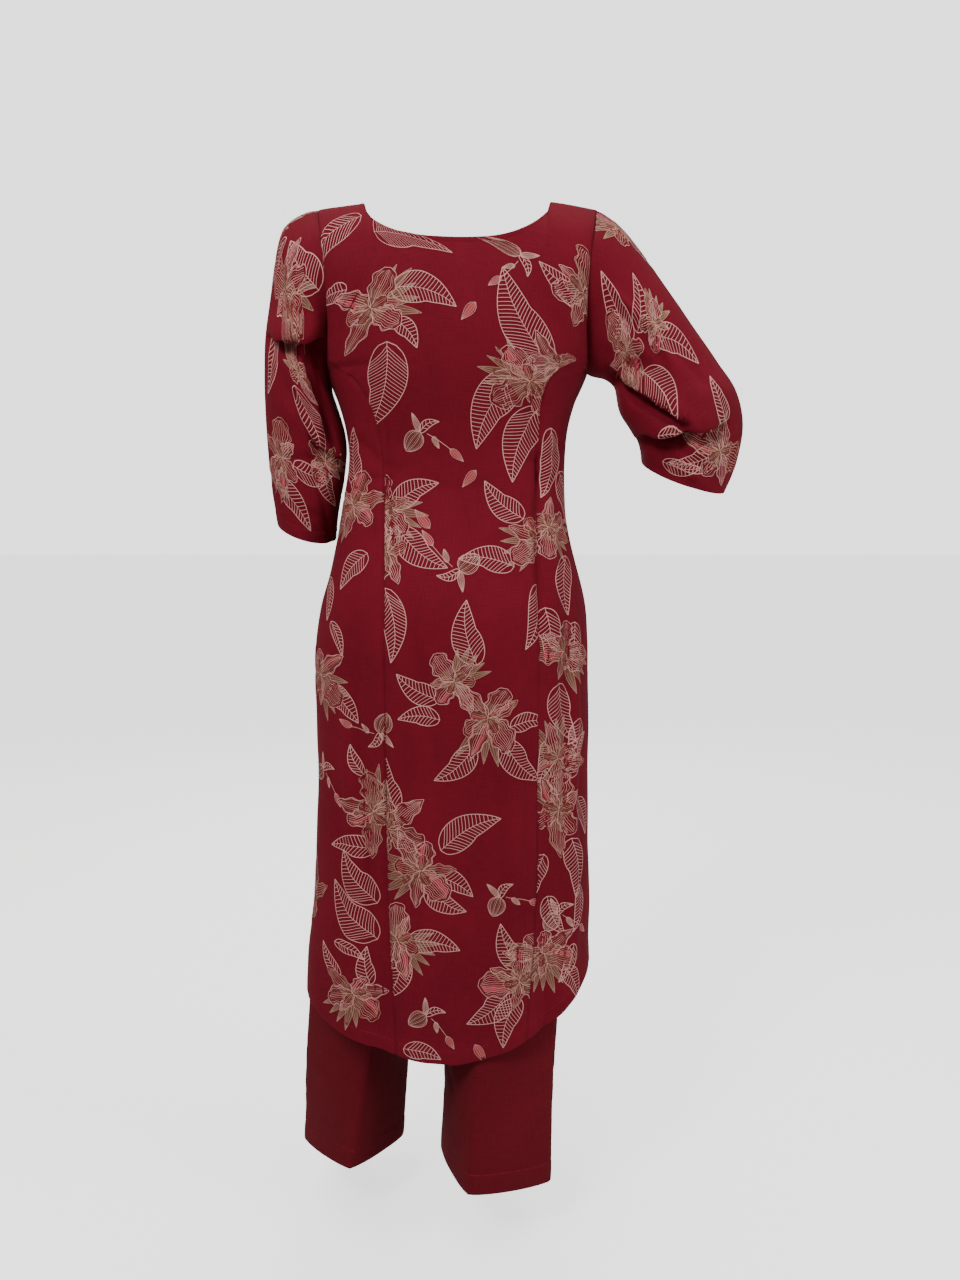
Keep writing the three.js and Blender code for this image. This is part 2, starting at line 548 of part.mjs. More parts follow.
function sewTrousers(panels) {
  const below = (v) => v.j < LEG_ROWS;
  const edge = (face, side, column) => columnEdge(panels[`${face}_${side}`], column);
  ['left', 'right'].forEach((side) => {
    sew(edge('back', side, 0), edge('front', side, 0));
    sew(edge('back', side, LEG_COLUMNS).filter(below), edge('front', side, LEG_COLUMNS).filter(below));
  });
  ['back', 'front'].forEach((face) => {
    const sign = face === 'back' ? 1 : -1;
    ['left', 'right'].forEach((side) => {
      const { points, normals } = panels[`${face}_${side}`];
      for (let j = LEG_ROWS; j <= LEG_ROWS + RISE_ROWS; j += 1) {
        points[LEG_COLUMNS][j].x = (side === 'left' ? 1 : -1) * SEAM_GAP / 2;
        flatten(normals[LEG_COLUMNS][j], 'x');
      }
      points[LEG_COLUMNS][LEG_ROWS].y = sign * SEAM_GAP / 2;
      normals[LEG_COLUMNS][LEG_ROWS].set(0, 0, -1);
    });
  });
}

function waistband() {
  const grid = sheet('trouser_waistband', BAND_COLUMNS, 1, TROUSER_CLOTH, (f, up) => {
    const angle = f * Math.PI * 2;
    const z = mix(BAND_BOTTOM + SEAM_GAP, BAND_TOP, up);
    const ease = WALL + HIP_CLEARANCE;
    const t = Math.cos(angle);
    const x = t * (track(BODY, 'z', t > 0 ? 'left' : 'right', z) - ease);
    const swell = (1 - Math.abs(t) ** BODY_ROUNDNESS) ** (1 / BODY_ROUNDNESS);
    const face = Math.sin(angle) > 0 ? 'back' : 'front';
    const y = swell * (track(BODY, 'z', face, z) - ease);
    return new THREE.Vector3(x, face === 'back' ? y : -y, z);
  }, { ring: true });
  grid.normals.forEach((column) => column.forEach((normal) => flatten(normal, 'z')));
  return grid;
}

// ---------- the suit ----------
const centre = backCentre();
const backLeft = backSide('left');
const backRight = backSide('right');
const frontPiece = front();

const bodyRows = (edge) => edge.slice(0, BODY_ROWS + 1);
sew(bodyRows(columnEdge(centre, 0)), columnEdge(backLeft, 0));
sew(bodyRows(columnEdge(centre, CENTRE_COLUMNS)), columnEdge(backRight, 0));
sew(columnEdge(backLeft, SIDE_COLUMNS), bodyRows(columnEdge(frontPiece, 0)));
sew(columnEdge(backRight, SIDE_COLUMNS), bodyRows(columnEdge(frontPiece, FRONT_COLUMNS)));

// The shoulder seams are straight, so both pieces take the same normal along them.
function settleShoulder(grid, columns, sign) {
  const top = BODY_ROWS + YOKE_ROWS;
  const slope = SHOULDER_DROP / (SHOULDER_HALF_WIDTH - NECK_HALF_WIDTH);
  columns.forEach((i) => {
    const point = grid.points[i][top];
    grid.normals[i][top].set(Math.sign(point.x) * slope, 0, 1).normalize();
    point.y += sign * SEAM_GAP / 2;
  });
}
function shoulderColumns(columns) {
  const inner = Math.round(columns * (1 - NECK_HALF_WIDTH / SHOULDER_HALF_WIDTH) / 2);
  const low = Array.from({ length: inner + 1 }, (_, i) => i);
  return [...low, ...low.map((i) => columns - i)];
}
settleShoulder(centre, shoulderColumns(CENTRE_COLUMNS), 1);
settleShoulder(frontPiece, shoulderColumns(FRONT_COLUMNS), -1);

const loopLeft = armholeLoop('left', centre, backLeft, frontPiece);
const loopRight = armholeLoop('right', centre, backRight, frontPiece);
const sleeveLeft = sleeve('left', SLEEVE_LEFT, SLEEVE_LEFT_FOLDS, loopLeft);
const sleeveRight = sleeve('right', SLEEVE_RIGHT, SLEEVE_RIGHT_FOLDS, loopRight);
sewSleeve(sleeveLeft, loopLeft);
sewSleeve(sleeveRight, loopRight);

[[sleeveLeft, backLeft, 0, 0], [sleeveRight, backRight, CENTRE_COLUMNS, FRONT_COLUMNS]]
  .forEach(([grid, back, centreColumn, frontColumn]) => {
    const top = BODY_ROWS + YOKE_ROWS;
    shareNormal(grid, 0, [[centre, centreColumn, top], [frontPiece, frontColumn, top]], 'y');
    shareNormal(grid, YOKE_ROWS, [[centre, centreColumn, BODY_ROWS], [back, 0, BODY_ROWS]]);
    shareNormal(grid, YOKE_ROWS + SIDE_COLUMNS,
      [[back, SIDE_COLUMNS, BODY_ROWS], [frontPiece, frontColumn, BODY_ROWS]]);
  });

const panels = {};
['back', 'front'].forEach((face) => ['left', 'right'].forEach((side) => {
  panels[`${face}_${side}`] = trouserPanel(side, face);
}));
sewTrousers(panels);

const suit = new THREE.Group();
suit.name = 'salwar_suit';
[centre, backLeft, backRight, frontPiece, sleeveLeft, sleeveRight, ...Object.values(panels), waistband()]
  .forEach((grid) => suit.add(wallOf(grid)));

export default suit;
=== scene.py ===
"""Salwar suit, worn hollow: a printed kurta with three-quarter sleeves over straight trousers.

Every sheet of cloth is worked out in millimetres from the sizes below, on the same form as the
part's solids, and is written to its mesh in metres.
"""

import json
import math
import bmesh
import bpy
from bpy.props import FloatProperty, FloatVectorProperty, PointerProperty
from mathutils import Euler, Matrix, Vector, geometry, noise
from mathutils.bvhtree import BVHTree

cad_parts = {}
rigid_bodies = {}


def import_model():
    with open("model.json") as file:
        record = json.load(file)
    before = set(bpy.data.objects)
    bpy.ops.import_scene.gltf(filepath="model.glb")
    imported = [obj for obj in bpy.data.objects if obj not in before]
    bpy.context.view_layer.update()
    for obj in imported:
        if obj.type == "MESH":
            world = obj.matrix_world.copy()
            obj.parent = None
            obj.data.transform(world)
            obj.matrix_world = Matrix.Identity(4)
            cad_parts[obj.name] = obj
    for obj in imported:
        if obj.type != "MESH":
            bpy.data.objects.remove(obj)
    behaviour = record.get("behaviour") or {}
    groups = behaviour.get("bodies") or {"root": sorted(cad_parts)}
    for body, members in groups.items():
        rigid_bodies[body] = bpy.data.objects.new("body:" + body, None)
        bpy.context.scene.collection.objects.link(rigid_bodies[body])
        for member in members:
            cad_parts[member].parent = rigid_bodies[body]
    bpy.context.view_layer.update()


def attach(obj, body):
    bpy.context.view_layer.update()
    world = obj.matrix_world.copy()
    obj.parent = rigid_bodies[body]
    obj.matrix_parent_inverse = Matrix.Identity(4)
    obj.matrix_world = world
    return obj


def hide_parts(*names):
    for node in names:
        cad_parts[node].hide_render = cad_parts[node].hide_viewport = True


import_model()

bl_info = {
    "name": "Salwar Suit",
    "version": (1, 0, 0),
    "blender": (4, 5, 0),
    "location": "3D View > Sidebar > Suit",
    "description": "A printed kurta and straight trousers, sewn from their cut pieces",
    "category": "Object",
}

MM = 0.001

# ---------- sizes of the cut, millimetres ----------
# A roundness is the power of a curve: 1 is straight, 2 is an ellipse, more is squarer.
# Neck and shoulders.
NECK_HALF_WIDTH = 124
NECK_DEPTH = {"back": 67, "front": 106}
NECK_ROUNDNESS = 2.6
SHOULDER_HALF_WIDTH = 186
SHOULDER_DROP = 8
SHOULDER_ROUND = 62

# Armholes: wider by the ease at the shoulder, narrower by the hollow at the underarm.
ARMHOLE_BOTTOM = -222
ARMHOLE_DEPTH = 60
ARMHOLE_EASE = 12
ARMHOLE_HOLLOW = 9
EASE_END = -185
EASE_FADE = 100
ARMHOLE_INSET = 12
UNDERARM_X = 176

# Shaped back seams start at this share of the way round the armhole. Side slits and hem.
SEAM_START = 0.84
SLIT_TOP = -632
SLIT_HEM = {"back": 28, "front": 56}
HEM_MIDDLE = -1158
HEM_CORNER = {"left": -1080, "right": -1035}
HEM_ROUNDNESS = 1.45
BODY_ROUNDNESS = 2.35

# Trousers, and how far inside the kurta's hips they sit.
CROTCH = -660
BAND_TOP = -384
BAND_BOTTOM = -420
TROUSER_HEM = -1345
CAD_WALL = 1.5
HIP_CLEARANCE = 5
HIP_EASE = 8
SEAM_GAP = 0.3

# How the forms run: the bow of an open slit, where the skirt's folds and the spread of the shaped
# seams begin and how far down they grow, and how soon folds fade towards a side edge.
SLIT_BOW = 0.8
SKIRT_FOLD_TOP = -560
SKIRT_FOLD_GROW = 420
SEAM_SPREAD_TOP = -900
SEAM_SPREAD = 260
EDGE_CALM = 8

# Levels that lie straight across on the flat patterns.
WAIST = -340
KNEE = -900


def table(columns, *rows):
    """Rows of numbers under named columns."""
    names = columns.split()
    return [dict(zip(names, row)) for row in rows]


# Kurta: reach to the wearer's left and right, to the back and to the front at each level.
BODY = table(
    "z left right back front",
    (20, 186, 186, 66, 56),
    (-60, 182, 182, 82, 74),
    (-150, 176, 176, 95, 104),
    (-222, 176, 176, 94, 124),
    (-262, 163, 160, 88, 121),
    (-300, 153, 150, 80, 108),
    (-340, 148, 146, 75, 96),
    (-390, 156, 147, 80, 94),
    (-440, 166, 153, 93, 97),
    (-485, 176, 164, 107, 100),
    (-535, 189, 176, 118, 102),
    (-585, 197, 181, 121, 102),
    (-632, 200, 181, 119, 102),
    (-760, 197, 182, 113, 108),
    (-940, 203, 183, 109, 122),
    (-1040, 215, 185, 107, 134),
    (-1170, 219, 186, 104, 142),
)

# Shaped back seams: distance from the middle, how fast they leave the armhole, and at the hem.
BACK_SEAMS = {
    "left": {"inset": 94, "curve": 46, "hem": 84},
    "right": {"inset": 107, "curve": 19, "hem": 93},
}

# Long soft folds of the skirt: place across, half width, and height at the hem, back and front.
SKIRT_FOLDS = table(
    "x width back front",
    (150, 26, 4, -3),
    (104, 13, -5, 5),
    (52, 26, 3, -6),
    (-18, 34, -4, 6),
    (-78, 24, 4, -5),
    (-116, 12, -7, 4),
    (-150, 16, 6, -3),
)

# Sleeve rings: outer and inner point seen from behind, reach to the back and front, the middle
# from front to back, and the sag of the ring's back end.
SLEEVE_COLUMNS = "outX outZ inX inZ depth y sag"
SLEEVE_RINGS = {
    "left": table(
        SLEEVE_COLUMNS,
        (186, -8, 176, -222, 60, 0, 0),
        (209, -15, 183, -238, 63, 1, 0),
        (231, -36, 184, -250, 65, 1, 2),
        (243, -78, 182, -264, 66, 2, 4),
        (251, -124, 179, -282, 64, 3, 6),
        (258, -172, 176, -300, 60, 4, 8),
        (261, -222, 174, -322, 56, 3, 8),
        (262, -272, 173, -348, 53, 1, 8),
        (261, -322, 173, -376, 50, -3, 9),
        (258, -372, 174, -410, 48, -9, 11),
        (252, -420, 175, -446, 47, -16, 14),
    ),
    "right": table(
        SLEEVE_COLUMNS,
        (-186, -8, -176, -222, 60, 0, 0),
        (-206, -20, -183, -227, 62, 1, 0),
        (-224, -40, -190, -228, 64, 3, 2),
        (-246, -68, -199, -230, 65, 5, 4),
        (-270, -100, -208, -235, 64, 8, 5),
        (-294, -133, -215, -243, 62, 12, 6),
        (-320, -171, -220, -256, 60, 17, 8),
        (-347, -210, -227, -275, 59, 21, 10),
        (-372, -246, -236, -295, 59, 23, 12),
        (-384, -290, -244, -312, 58, 21, 14),
        (-378, -338, -249, -328, 56, 16, 16),
        (-363, -378, -252, -344, 54, 10, 18),
    ),
}

# Folds of a sleeve: place along and round it (turns from the outer line over the back), spread
# along and round, and height.
FOLD_COLUMNS = "along round long wide height"
SLEEVE_FOLDS = {
    "left": table(
        FOLD_COLUMNS,
        (0.20, 0.20, 0.06, 0.12, 4),
        (0.44, 0.38, 0.20, 0.045, -17),
        (0.46, 0.30, 0.18, 0.05, 5),
        (0.62, 0.24, 0.05, 0.12, 5),
        (0.70, 0.33, 0.14, 0.05, -5),
        (0.60, 0.78, 0.06, 0.14, 5),
        (0.70, 0.74, 0.06, 0.14, -5),
    ),
    "right": table(
        FOLD_COLUMNS,
        (0.46, 0.36, 0.10, 0.06, -6),
        (0.70, 0.22, 0.05, 0.10, 6),
        (0.80, 0.20, 0.05, 0.10, -8),
        (0.72, 0.72, 0.06, 0.12, -5),
    ),
}

# Tucks where a sleeve's cloth hangs over itself: place along and round it, half length along in
# millimetres, spread round, how far the upper cloth stands out, and how far it drops.
TUCK_COLUMNS = "along round half wide out drop"
SLEEVE_TUCKS = {
    "left": table(
        TUCK_COLUMNS,
        (0.66, 0.40, 11, 0.07, 4, 14),
        (0.60, 0.80, 15, 0.12, 6, 18),
    ),
    "right": table(
        TUCK_COLUMNS,
        (0.70, 0.74, 14, 0.12, 6, 18),
    ),
}

# Overhangs on the back of a sleeve, where the upper cloth hangs in a lip over a hollow: the lip's
# ends seen from behind, its half height, how far it stands out and how far it drops.
LIP_COLUMNS = "x0 z0 x1 z1 half out drop"
SLEEVE_LIPS = {
    "left": table(
        LIP_COLUMNS,
        (230, -180, 172, -192, 14, 17, 32),
    ),
    "right": table(
        LIP_COLUMNS,
        (-262, -306, -326, -298, 12, 11, 26),
        (-222, -236, -278, -284, 11, 9, 22),
    ),
}
LIP_ENDS = 0.5
LIP_HOLLOW = 1.5
LIP_FADE = 30
FOLD_SPACING = 0.75
TUCK_HOLLOW = 0.8

# Where a sleeve's inner side leans in towards the body: level, spread and how far.
LEAN_COLUMNS = "z spread shift"
SLEEVE_LEANS = {
    "left": table(LEAN_COLUMNS, (-312, 86, 21)),
    "right": table(LEAN_COLUMNS, (-278, 30, 9)),
}

# Trouser legs below the crotch: outer and inner edge, reach to back and front, the middle from
# front to back, the turn of the pressed creases in degrees, and how round the section is.
LEG_COLUMNS = "z out in back front y turn round"
LEGS = {
    "left": table(
        LEG_COLUMNS,
        (-660, 189, 0.15, 90, 80, 0, 0, 2.2),
        (-720, 186, 7, 88, 80, 0, -4, 2.0),
        (-900, 194, 32, 90, 84, -12, -12, 1.6),
        (-1100, 222, 62, 84, 82, -26, -18, 1.35),
        (-1200, 230, 74, 82, 80, -30, -14, 1.25),
        (-1345, 236, 86, 81, 78, -31, -3, 1.2),
    ),
    "right": table(
        LEG_COLUMNS,
        (-660, -172, -0.15, 90, 80, 0, 0, 2.2),
        (-720, -168, 1, 87, 80, 2, 6, 2.0),
        (-900, -156, 10, 82, 80, 12, 16, 1.6),
        (-1100, -146, 22, 77, 78, 22, 24, 1.35),
        (-1200, -143, 31, 78, 78, 27, 27, 1.25),
        (-1345, -141, 38, 80, 78, 32, 28, 1.2),
    ),
}


# ---------- small tools ----------
NEARLY = 1e-6


def mix(a, b, f):
    """The value a share f of the way from a to b."""
    return a + (b - a) * f


def clamp01(f):
    return min(1.0, max(0.0, f))


def smooth(f):
    """An even start and end between 0 and 1."""
    f = clamp01(f)
    return f * f * (3 - 2 * f)


BELL_REACH = 4


def bell(d):
    """A soft bump, 1 in its middle and 0 past its reach."""
    return math.exp(-d * d) if abs(d) < BELL_REACH else 0.0


def sway(d):
    """A soft wave through 0, down before it and up after it."""
    return d * math.exp(0.5 - d * d)


def track(rows, key, column, at):
    """Value of one column at a level, by a smooth curve through the rows."""
    down = rows[0][key] > rows[-1][key]
    i = 0
    last = len(rows) - 2
    while i < last and (at < rows[i + 1][key] if down else at > rows[i + 1][key]):
        i += 1
    a, b = rows[i], rows[i + 1]
    before, after = rows[max(0, i - 1)], rows[min(len(rows) - 1, i + 2)]
    span = b[key] - a[key]
    f = clamp01((at - a[key]) / span)
    slope_a = (b[column] - before[column]) / (b[key] - before[key]) * span
    slope_b = (after[column] - a[column]) / (after[key] - a[key]) * span
    f2, f3 = f * f, f * f * f
    return (
        (2 * f3 - 3 * f2 + 1) * a[column]
        + (f3 - 2 * f2 + f) * slope_a
        + (3 * f2 - 2 * f3) * b[column]
        + (f3 - f2) * slope_b
    )


EDGE_TIGHT = (0.0035, 0.009, 0.018)
EDGE_MARGIN = 1.6


def stops(count, marks=(0, 1), tight=EDGE_TIGHT):
    """Fractions from 0 to 1: even steps that meet every mark, closer together at both ends."""
    inner = []
    for start, end in zip(marks, marks[1:]):
        steps = max(1, round(count * (end - start)))
        inner += [mix(start, end, k / steps) for k in range(steps)]
    inner.append(marks[-1])
    low, high = marks[0], marks[-1]
    margin = tight[-1] * EDGE_MARGIN
    kept = [f for f in inner if low + margin < f < high - margin]
    return [low, *(low + t for t in tight), *kept, *(high - t for t in reversed(tight)), high]


# ---------- the kurta's form ----------
ARMHOLE_MIDDLE = (ARMHOLE_BOTTOM - SHOULDER_DROP) / 2
ARMHOLE_HALF = (-SHOULDER_DROP - ARMHOLE_BOTTOM) / 2
SEAM_ANGLE = SEAM_START * math.pi


def armhole_z(angle):
    """Level round the armhole, from the shoulder at 0 to the underarm at pi."""
    return ARMHOLE_MIDDLE + ARMHOLE_HALF * math.cos(angle)


def armhole_x(z):
    """Distance of the armhole seam from the middle."""
    down = clamp01((-SHOULDER_DROP - z) / (-SHOULDER_DROP - ARMHOLE_BOTTOM))
    return mix(SHOULDER_HALF_WIDTH, UNDERARM_X, down) - ARMHOLE_INSET * math.sin(math.pi * down)


def side_reach(side, z):
    """Distance of the kurta's side edge from the middle."""
    return armhole_x(z) if z > ARMHOLE_BOTTOM else track(BODY, "z", side, z)


def edge_y(face, z):
    """Place of a side edge from front to back: armhole above, closed seam, slit below."""
    if z > ARMHOLE_BOTTOM:
        angle = math.acos(1 - 2 * clamp01((ARMHOLE_MIDDLE + ARMHOLE_HALF - z) / 2 / ARMHOLE_HALF))
        ease = mix(-ARMHOLE_HOLLOW, ARMHOLE_EASE, smooth((z - EASE_END) / EASE_FADE))
        return (ARMHOLE_DEPTH + ease) * math.sin(angle)
    opened = clamp01((SLIT_TOP - z) / (SLIT_TOP - HEM_MIDDLE))
    return SLIT_HEM[face] * opened**SLIT_BOW


def shoulder_line(x):
    """Level of the shoulder seam, which drops from the neck outwards."""
    out = clamp01((abs(x) - NECK_HALF_WIDTH) / (SHOULDER_HALF_WIDTH - NECK_HALF_WIDTH))
    return -SHOULDER_DROP * out


def fold_height(face, x, z):
    """How far the skirt's long folds stand out."""
    grow = smooth((SKIRT_FOLD_TOP - z) / SKIRT_FOLD_GROW)
    if grow == 0:
        return 0.0
    return grow * sum(f[face] * bell((x - f["x"]) / f["width"]) for f in SKIRT_FOLDS)


def body_point(face, t, z):
    """A point of the back or front; t runs from 1 at the wearer's left edge to -1."""
    x = side_reach("left" if t > 0 else "right", z) * t
    roll = clamp01((shoulder_line(x) - z) / SHOULDER_ROUND)
    cap = math.sqrt(1 - (1 - roll) ** 2)
    deep = track(BODY, "z", face, z) * cap
    edge = edge_y(face, z) * cap
    swell = clamp01(1 - abs(t) ** BODY_ROUNDNESS) ** (1 / BODY_ROUNDNESS)
    fade = clamp01((1 - abs(t)) * EDGE_CALM)
    y = mix(edge, deep, swell) + fold_height(face, x, z) * fade
    return Vector((x, y if face == "back" else -y, z))


def top_edge(x, face):
    """Level of the neckline, and of the shoulder seam beside it."""
    if abs(x) >= NECK_HALF_WIDTH - NEARLY:
        return shoulder_line(x)
    f = abs(x) / NECK_HALF_WIDTH
    return -NECK_DEPTH[face] * (1 - f**NECK_ROUNDNESS) ** (1 / NECK_ROUNDNESS)


def hem_z(t):
    """Level of the hem, which rises in a round corner at each side."""
    corner = HEM_CORNER["left" if t > 0 else "right"]
    rounded = (1 - min(1, abs(t)) ** HEM_ROUNDNESS) ** (1 / HEM_ROUNDNESS)
    return mix(corner, HEM_MIDDLE, rounded)


SEAM_TOP = armhole_z(SEAM_ANGLE)
HEM_ROUNDS = 8


def seam_t(side, z):
    """Where a shaped back seam lies across, as t."""
    seam = BACK_SEAMS[side]
    straight = mix(seam["inset"], seam["hem"], smooth((SEAM_SPREAD_TOP - z) / SEAM_SPREAD))
    x = straight + (armhole_x(SEAM_TOP) - straight) * math.exp((z - SEAM_TOP) / seam["curve"])
    return min(1, x / side_reach(side, z))


def seam_hem(side):
    """Level where a shaped back seam meets the hem, closer with each round."""
    sign = 1 if side == "left" else -1
    z = HEM_MIDDLE
    for _ in range(HEM_ROUNDS):
        z = hem_z(sign * seam_t(side, z))
    return z


ROW_CROWDING = 1.25


def row_place(f):
    """Share of the height up to a share of the rows, which lie closer together towards the top."""
    return 1 - (1 - f) ** ROW_CROWDING


# ---------- a sheet of cloth ----------
MEASURE_EVERY = 8


class Cloth:
    """A grid of points on the garment's form, with its flat pattern as seen from outside.

    Columns run to the right seen from outside and rows run up.
    """

    def __init__(self, name, across, along, point, ring=False):
        self.name = name
        self.across = across
        self.along = along
        self.ring = ring
        self.points = [[point(u, v) for v in along] for u in across]
        self.find_normals()

    def find_normals(self):
        """The way out at every point."""
        columns, rows = len(self.across), len(self.along)
        p = self.points
        self.normals = []
        for i in range(columns):
            column = []
            for j in range(rows):
                if self.ring:
                    a, b = p[(i - 1) % (columns - 1)][j], p[(i + 1) % (columns - 1)][j]
                else:
                    a, b = p[max(0, i - 1)][j], p[min(columns - 1, i + 1)][j]
                c, d = p[i][max(0, j - 1)], p[i][min(rows - 1, j + 1)]
                normal = (b - a).cross(d - c)
                column.append(normal.normalized())
            self.normals.append(column)

    def lay_flat(self, start, level):
        """Flat pattern: a runs to the right seen from outside, b runs up.

        start gives a at the first column for a point's height, level is the b of a shared row.
        """
        self.flat = [[None] * len(self.along) for _ in self.across]
        row = min(range(len(self.along)), key=lambda j: abs(self.points[0][j].z - level))
        heights = []
        for column in self.points:
            b = [0.0] * len(self.along)
            b[row] = column[row].z
            for j in range(row + 1, len(b)):
                b[j] = b[j - 1] + (column[j] - column[j - 1]).length
            for j in range(row - 1, -1, -1):
                b[j] = b[j + 1] - (column[j] - column[j + 1]).length
            heights.append(b)
        for j in range(len(self.along)):
            a = start(self.points[0][j])
            for i, column in enumerate(self.points):
                if i:
                    step = column[j] - self.points[i - 1][j]
                    a += math.hypot(step.x, step.y)
                self.flat[i][j] = (a, heights[i][j])

    def lay_tube_flat(self, middle):
        """Flat pattern of a tube: a from a middle line, b down from the top row."""
        girths = []
        for j in range(len(self.along)):
            ring = [column[j] for column in self.points]
            girths.append(sum((q - p).length for p, q in zip(ring, ring[1:])))
        drops = [0.0] * len(self.along)
        for j in range(len(self.along) - 2, -1, -1):
            steps = [(column[j] - column[j + 1]).length for column in self.points[::MEASURE_EVERY]]
            drops[j] = drops[j + 1] - sum(steps) / len(steps)
        self.flat = [[((f - middle) * girth, drop) for girth, drop in zip(girths, drops)]
                     for f in self.across]

    def move(self, height):
        """Push every point out by a height that depends on its place."""
        for i in range(len(self.across)):
            for j in range(len(self.along)):
                lift = height(i, j)
                if lift:
                    self.points[i][j] = self.points[i][j] + self.normals[i][j] * lift
        self.find_normals()

    def flat_size(self):
        """Width, length and area of the flat pattern, in metres."""
        spots = [spot for column in self.flat for spot in column]
        width = max(s[0] for s in spots) - min(s[0] for s in spots)
        length = max(s[1] for s in spots) - min(s[1] for s in spots)
        area = 0.0
        for i in range(len(self.across) - 1):
            for j in range(len(self.along) - 1):
                p, q = self.points[i][j], self.points[i + 1][j + 1]
                r, s = self.points[i + 1][j], self.points[i][j + 1]
                area += (q - p).cross(s - r).length / 2
        return width * MM, length * MM, area * MM * MM


# ---------- the pieces ----------
# Rows and columns of the sheets.
BODY_ROWS = 210
YOKE_ROWS = 46
CENTER_COLUMNS = 72
SIDE_COLUMNS = 34
FRONT_COLUMNS = 96
SLEEVE_ROWS = 150
SLEEVE_STEPS = 120
LEG_ROWS = 116
RISE_ROWS = 30
PANEL_COLUMNS = 44
BAND_ROWS = 10
BAND_STEPS = 144

# Where rows lie closer together, at edges and along stitched hems.
BODY_TIGHT = (0.0012, 0.004, 0.009, 0.0125, 0.0136, 0.0148, 0.0165)
SLEEVE_TIGHT = (0.002, 0.006, 0.014, 0.028, 0.036, 0.0385, 0.041, 0.046)
LEG_TIGHT = (0.002, 0.006, 0.014, 0.028, 0.037, 0.0395, 0.042, 0.046)
BODY_STOPS = stops(BODY_ROWS, (0, 1), BODY_TIGHT)
YOKE_STOPS = [1 + f for f in stops(YOKE_ROWS)]
NECK_PLACE = (1 - NECK_HALF_WIDTH / SHOULDER_HALF_WIDTH) / 2
ARC_STEPS = 14


def back_center():
    """The middle of the back, from hem to neck and shoulders."""
    hems = {side: seam_hem(side) for side in ("left", "right")}

    def across_t(up, f):
        left = seam_t("left", mix(hems["left"], SEAM_TOP, up))
        right = -seam_t("right", mix(hems["right"], SEAM_TOP, up))
        return mix(left, right, f)

    def point(f, v):
        if v <= 1:
            up = row_place(v)
            return body_point("back", across_t(up, f), mix(hem_z(across_t(0, f)), SEAM_TOP, up))
        rise = (armhole_z(SEAM_ANGLE * (2 - v)) - SEAM_TOP) / (-SHOULDER_DROP - SEAM_TOP)
        t = 1 - 2 * f
        return body_point("back", t, mix(SEAM_TOP, top_edge(t * SHOULDER_HALF_WIDTH, "back"), rise))

    across = stops(CENTER_COLUMNS, (0, NECK_PLACE, 1 - NECK_PLACE, 1))
    cloth = Cloth("kurta_back_center", across, BODY_STOPS[:-1] + YOKE_STOPS, point)
    cloth.lay_flat(lambda p: -arc_to_middle("back", p), WAIST)
    return cloth


def arc_to_middle(face, p):
    """Length of cloth from a point of the body to its middle line, at one level."""
    reach = side_reach("left" if p.x > 0 else "right", p.z)
    t = p.x / reach
    total, last = 0.0, body_point(face, 0, p.z)
    for k in range(1, ARC_STEPS + 1):
        here = body_point(face, t * k / ARC_STEPS, p.z)
        total += (here - last).length
        last = here
    return total if p.x > 0 else -total


def back_side(side):
    """One side back, from hem to armhole."""
    sign = 1 if side == "left" else -1
    hem = seam_hem(side)
    spread_foot = math.acos(seam_t(side, hem))

    def point(f, v):
        up = row_place(v)
        spread_row = math.acos(seam_t(side, mix(hem, SEAM_TOP, up)))
        top = armhole_z(mix(SEAM_ANGLE, math.pi, f))
        low = hem_z(sign * math.cos(spread_foot * (1 - f)))
        return body_point("back", sign * math.cos(spread_row * (1 - f)), mix(low, top, up))

    across = stops(SIDE_COLUMNS)
    if side == "left":
        across.reverse()
    cloth = Cloth(f"kurta_back_side_{side}", across, BODY_STOPS, point)
    cloth.lay_flat(lambda p: -arc_to_middle("back", p), WAIST)
    return cloth


SQUARE_FROM = 0.75


def front():
    """The front; its columns square up from the hem's spacing to the yoke's below the armhole."""
    def point(f, v):
        t_round = math.cos(math.pi * f)
        flat = 1 - 2 * f
        if v <= 1:
            up = row_place(v)
            t = mix(t_round, flat, smooth((up - SQUARE_FROM) / (1 - SQUARE_FROM)))
            return body_point("front", t, mix(hem_z(t_round), ARMHOLE_BOTTOM, up))
        rise = (armhole_z(math.pi * (2 - v)) - ARMHOLE_BOTTOM) / (-SHOULDER_DROP - ARMHOLE_BOTTOM)
        top = top_edge(flat * SHOULDER_HALF_WIDTH, "front")
        return body_point("front", flat, mix(ARMHOLE_BOTTOM, top, rise))

    across = stops(FRONT_COLUMNS, (0, NECK_PLACE, 1 - NECK_PLACE, 1))[::-1]
    cloth = Cloth("kurta_front", across, BODY_STOPS[:-1] + YOKE_STOPS, point)
    cloth.lay_flat(lambda p: arc_to_middle("front", p), WAIST)
    return cloth


def armhole_point(side, angle):
    """A point of the armhole seam."""
    sign = 1 if side == "left" else -1
    return body_point("back" if angle < math.pi else "front", sign, armhole_z(angle))


SLEEVE_LENGTH = {"left": 430, "right": 400}
HEAD_BLEND = 5
HEAD_EASE_RUN = 0.3
HEAD_EASE_UNDER = 0.4


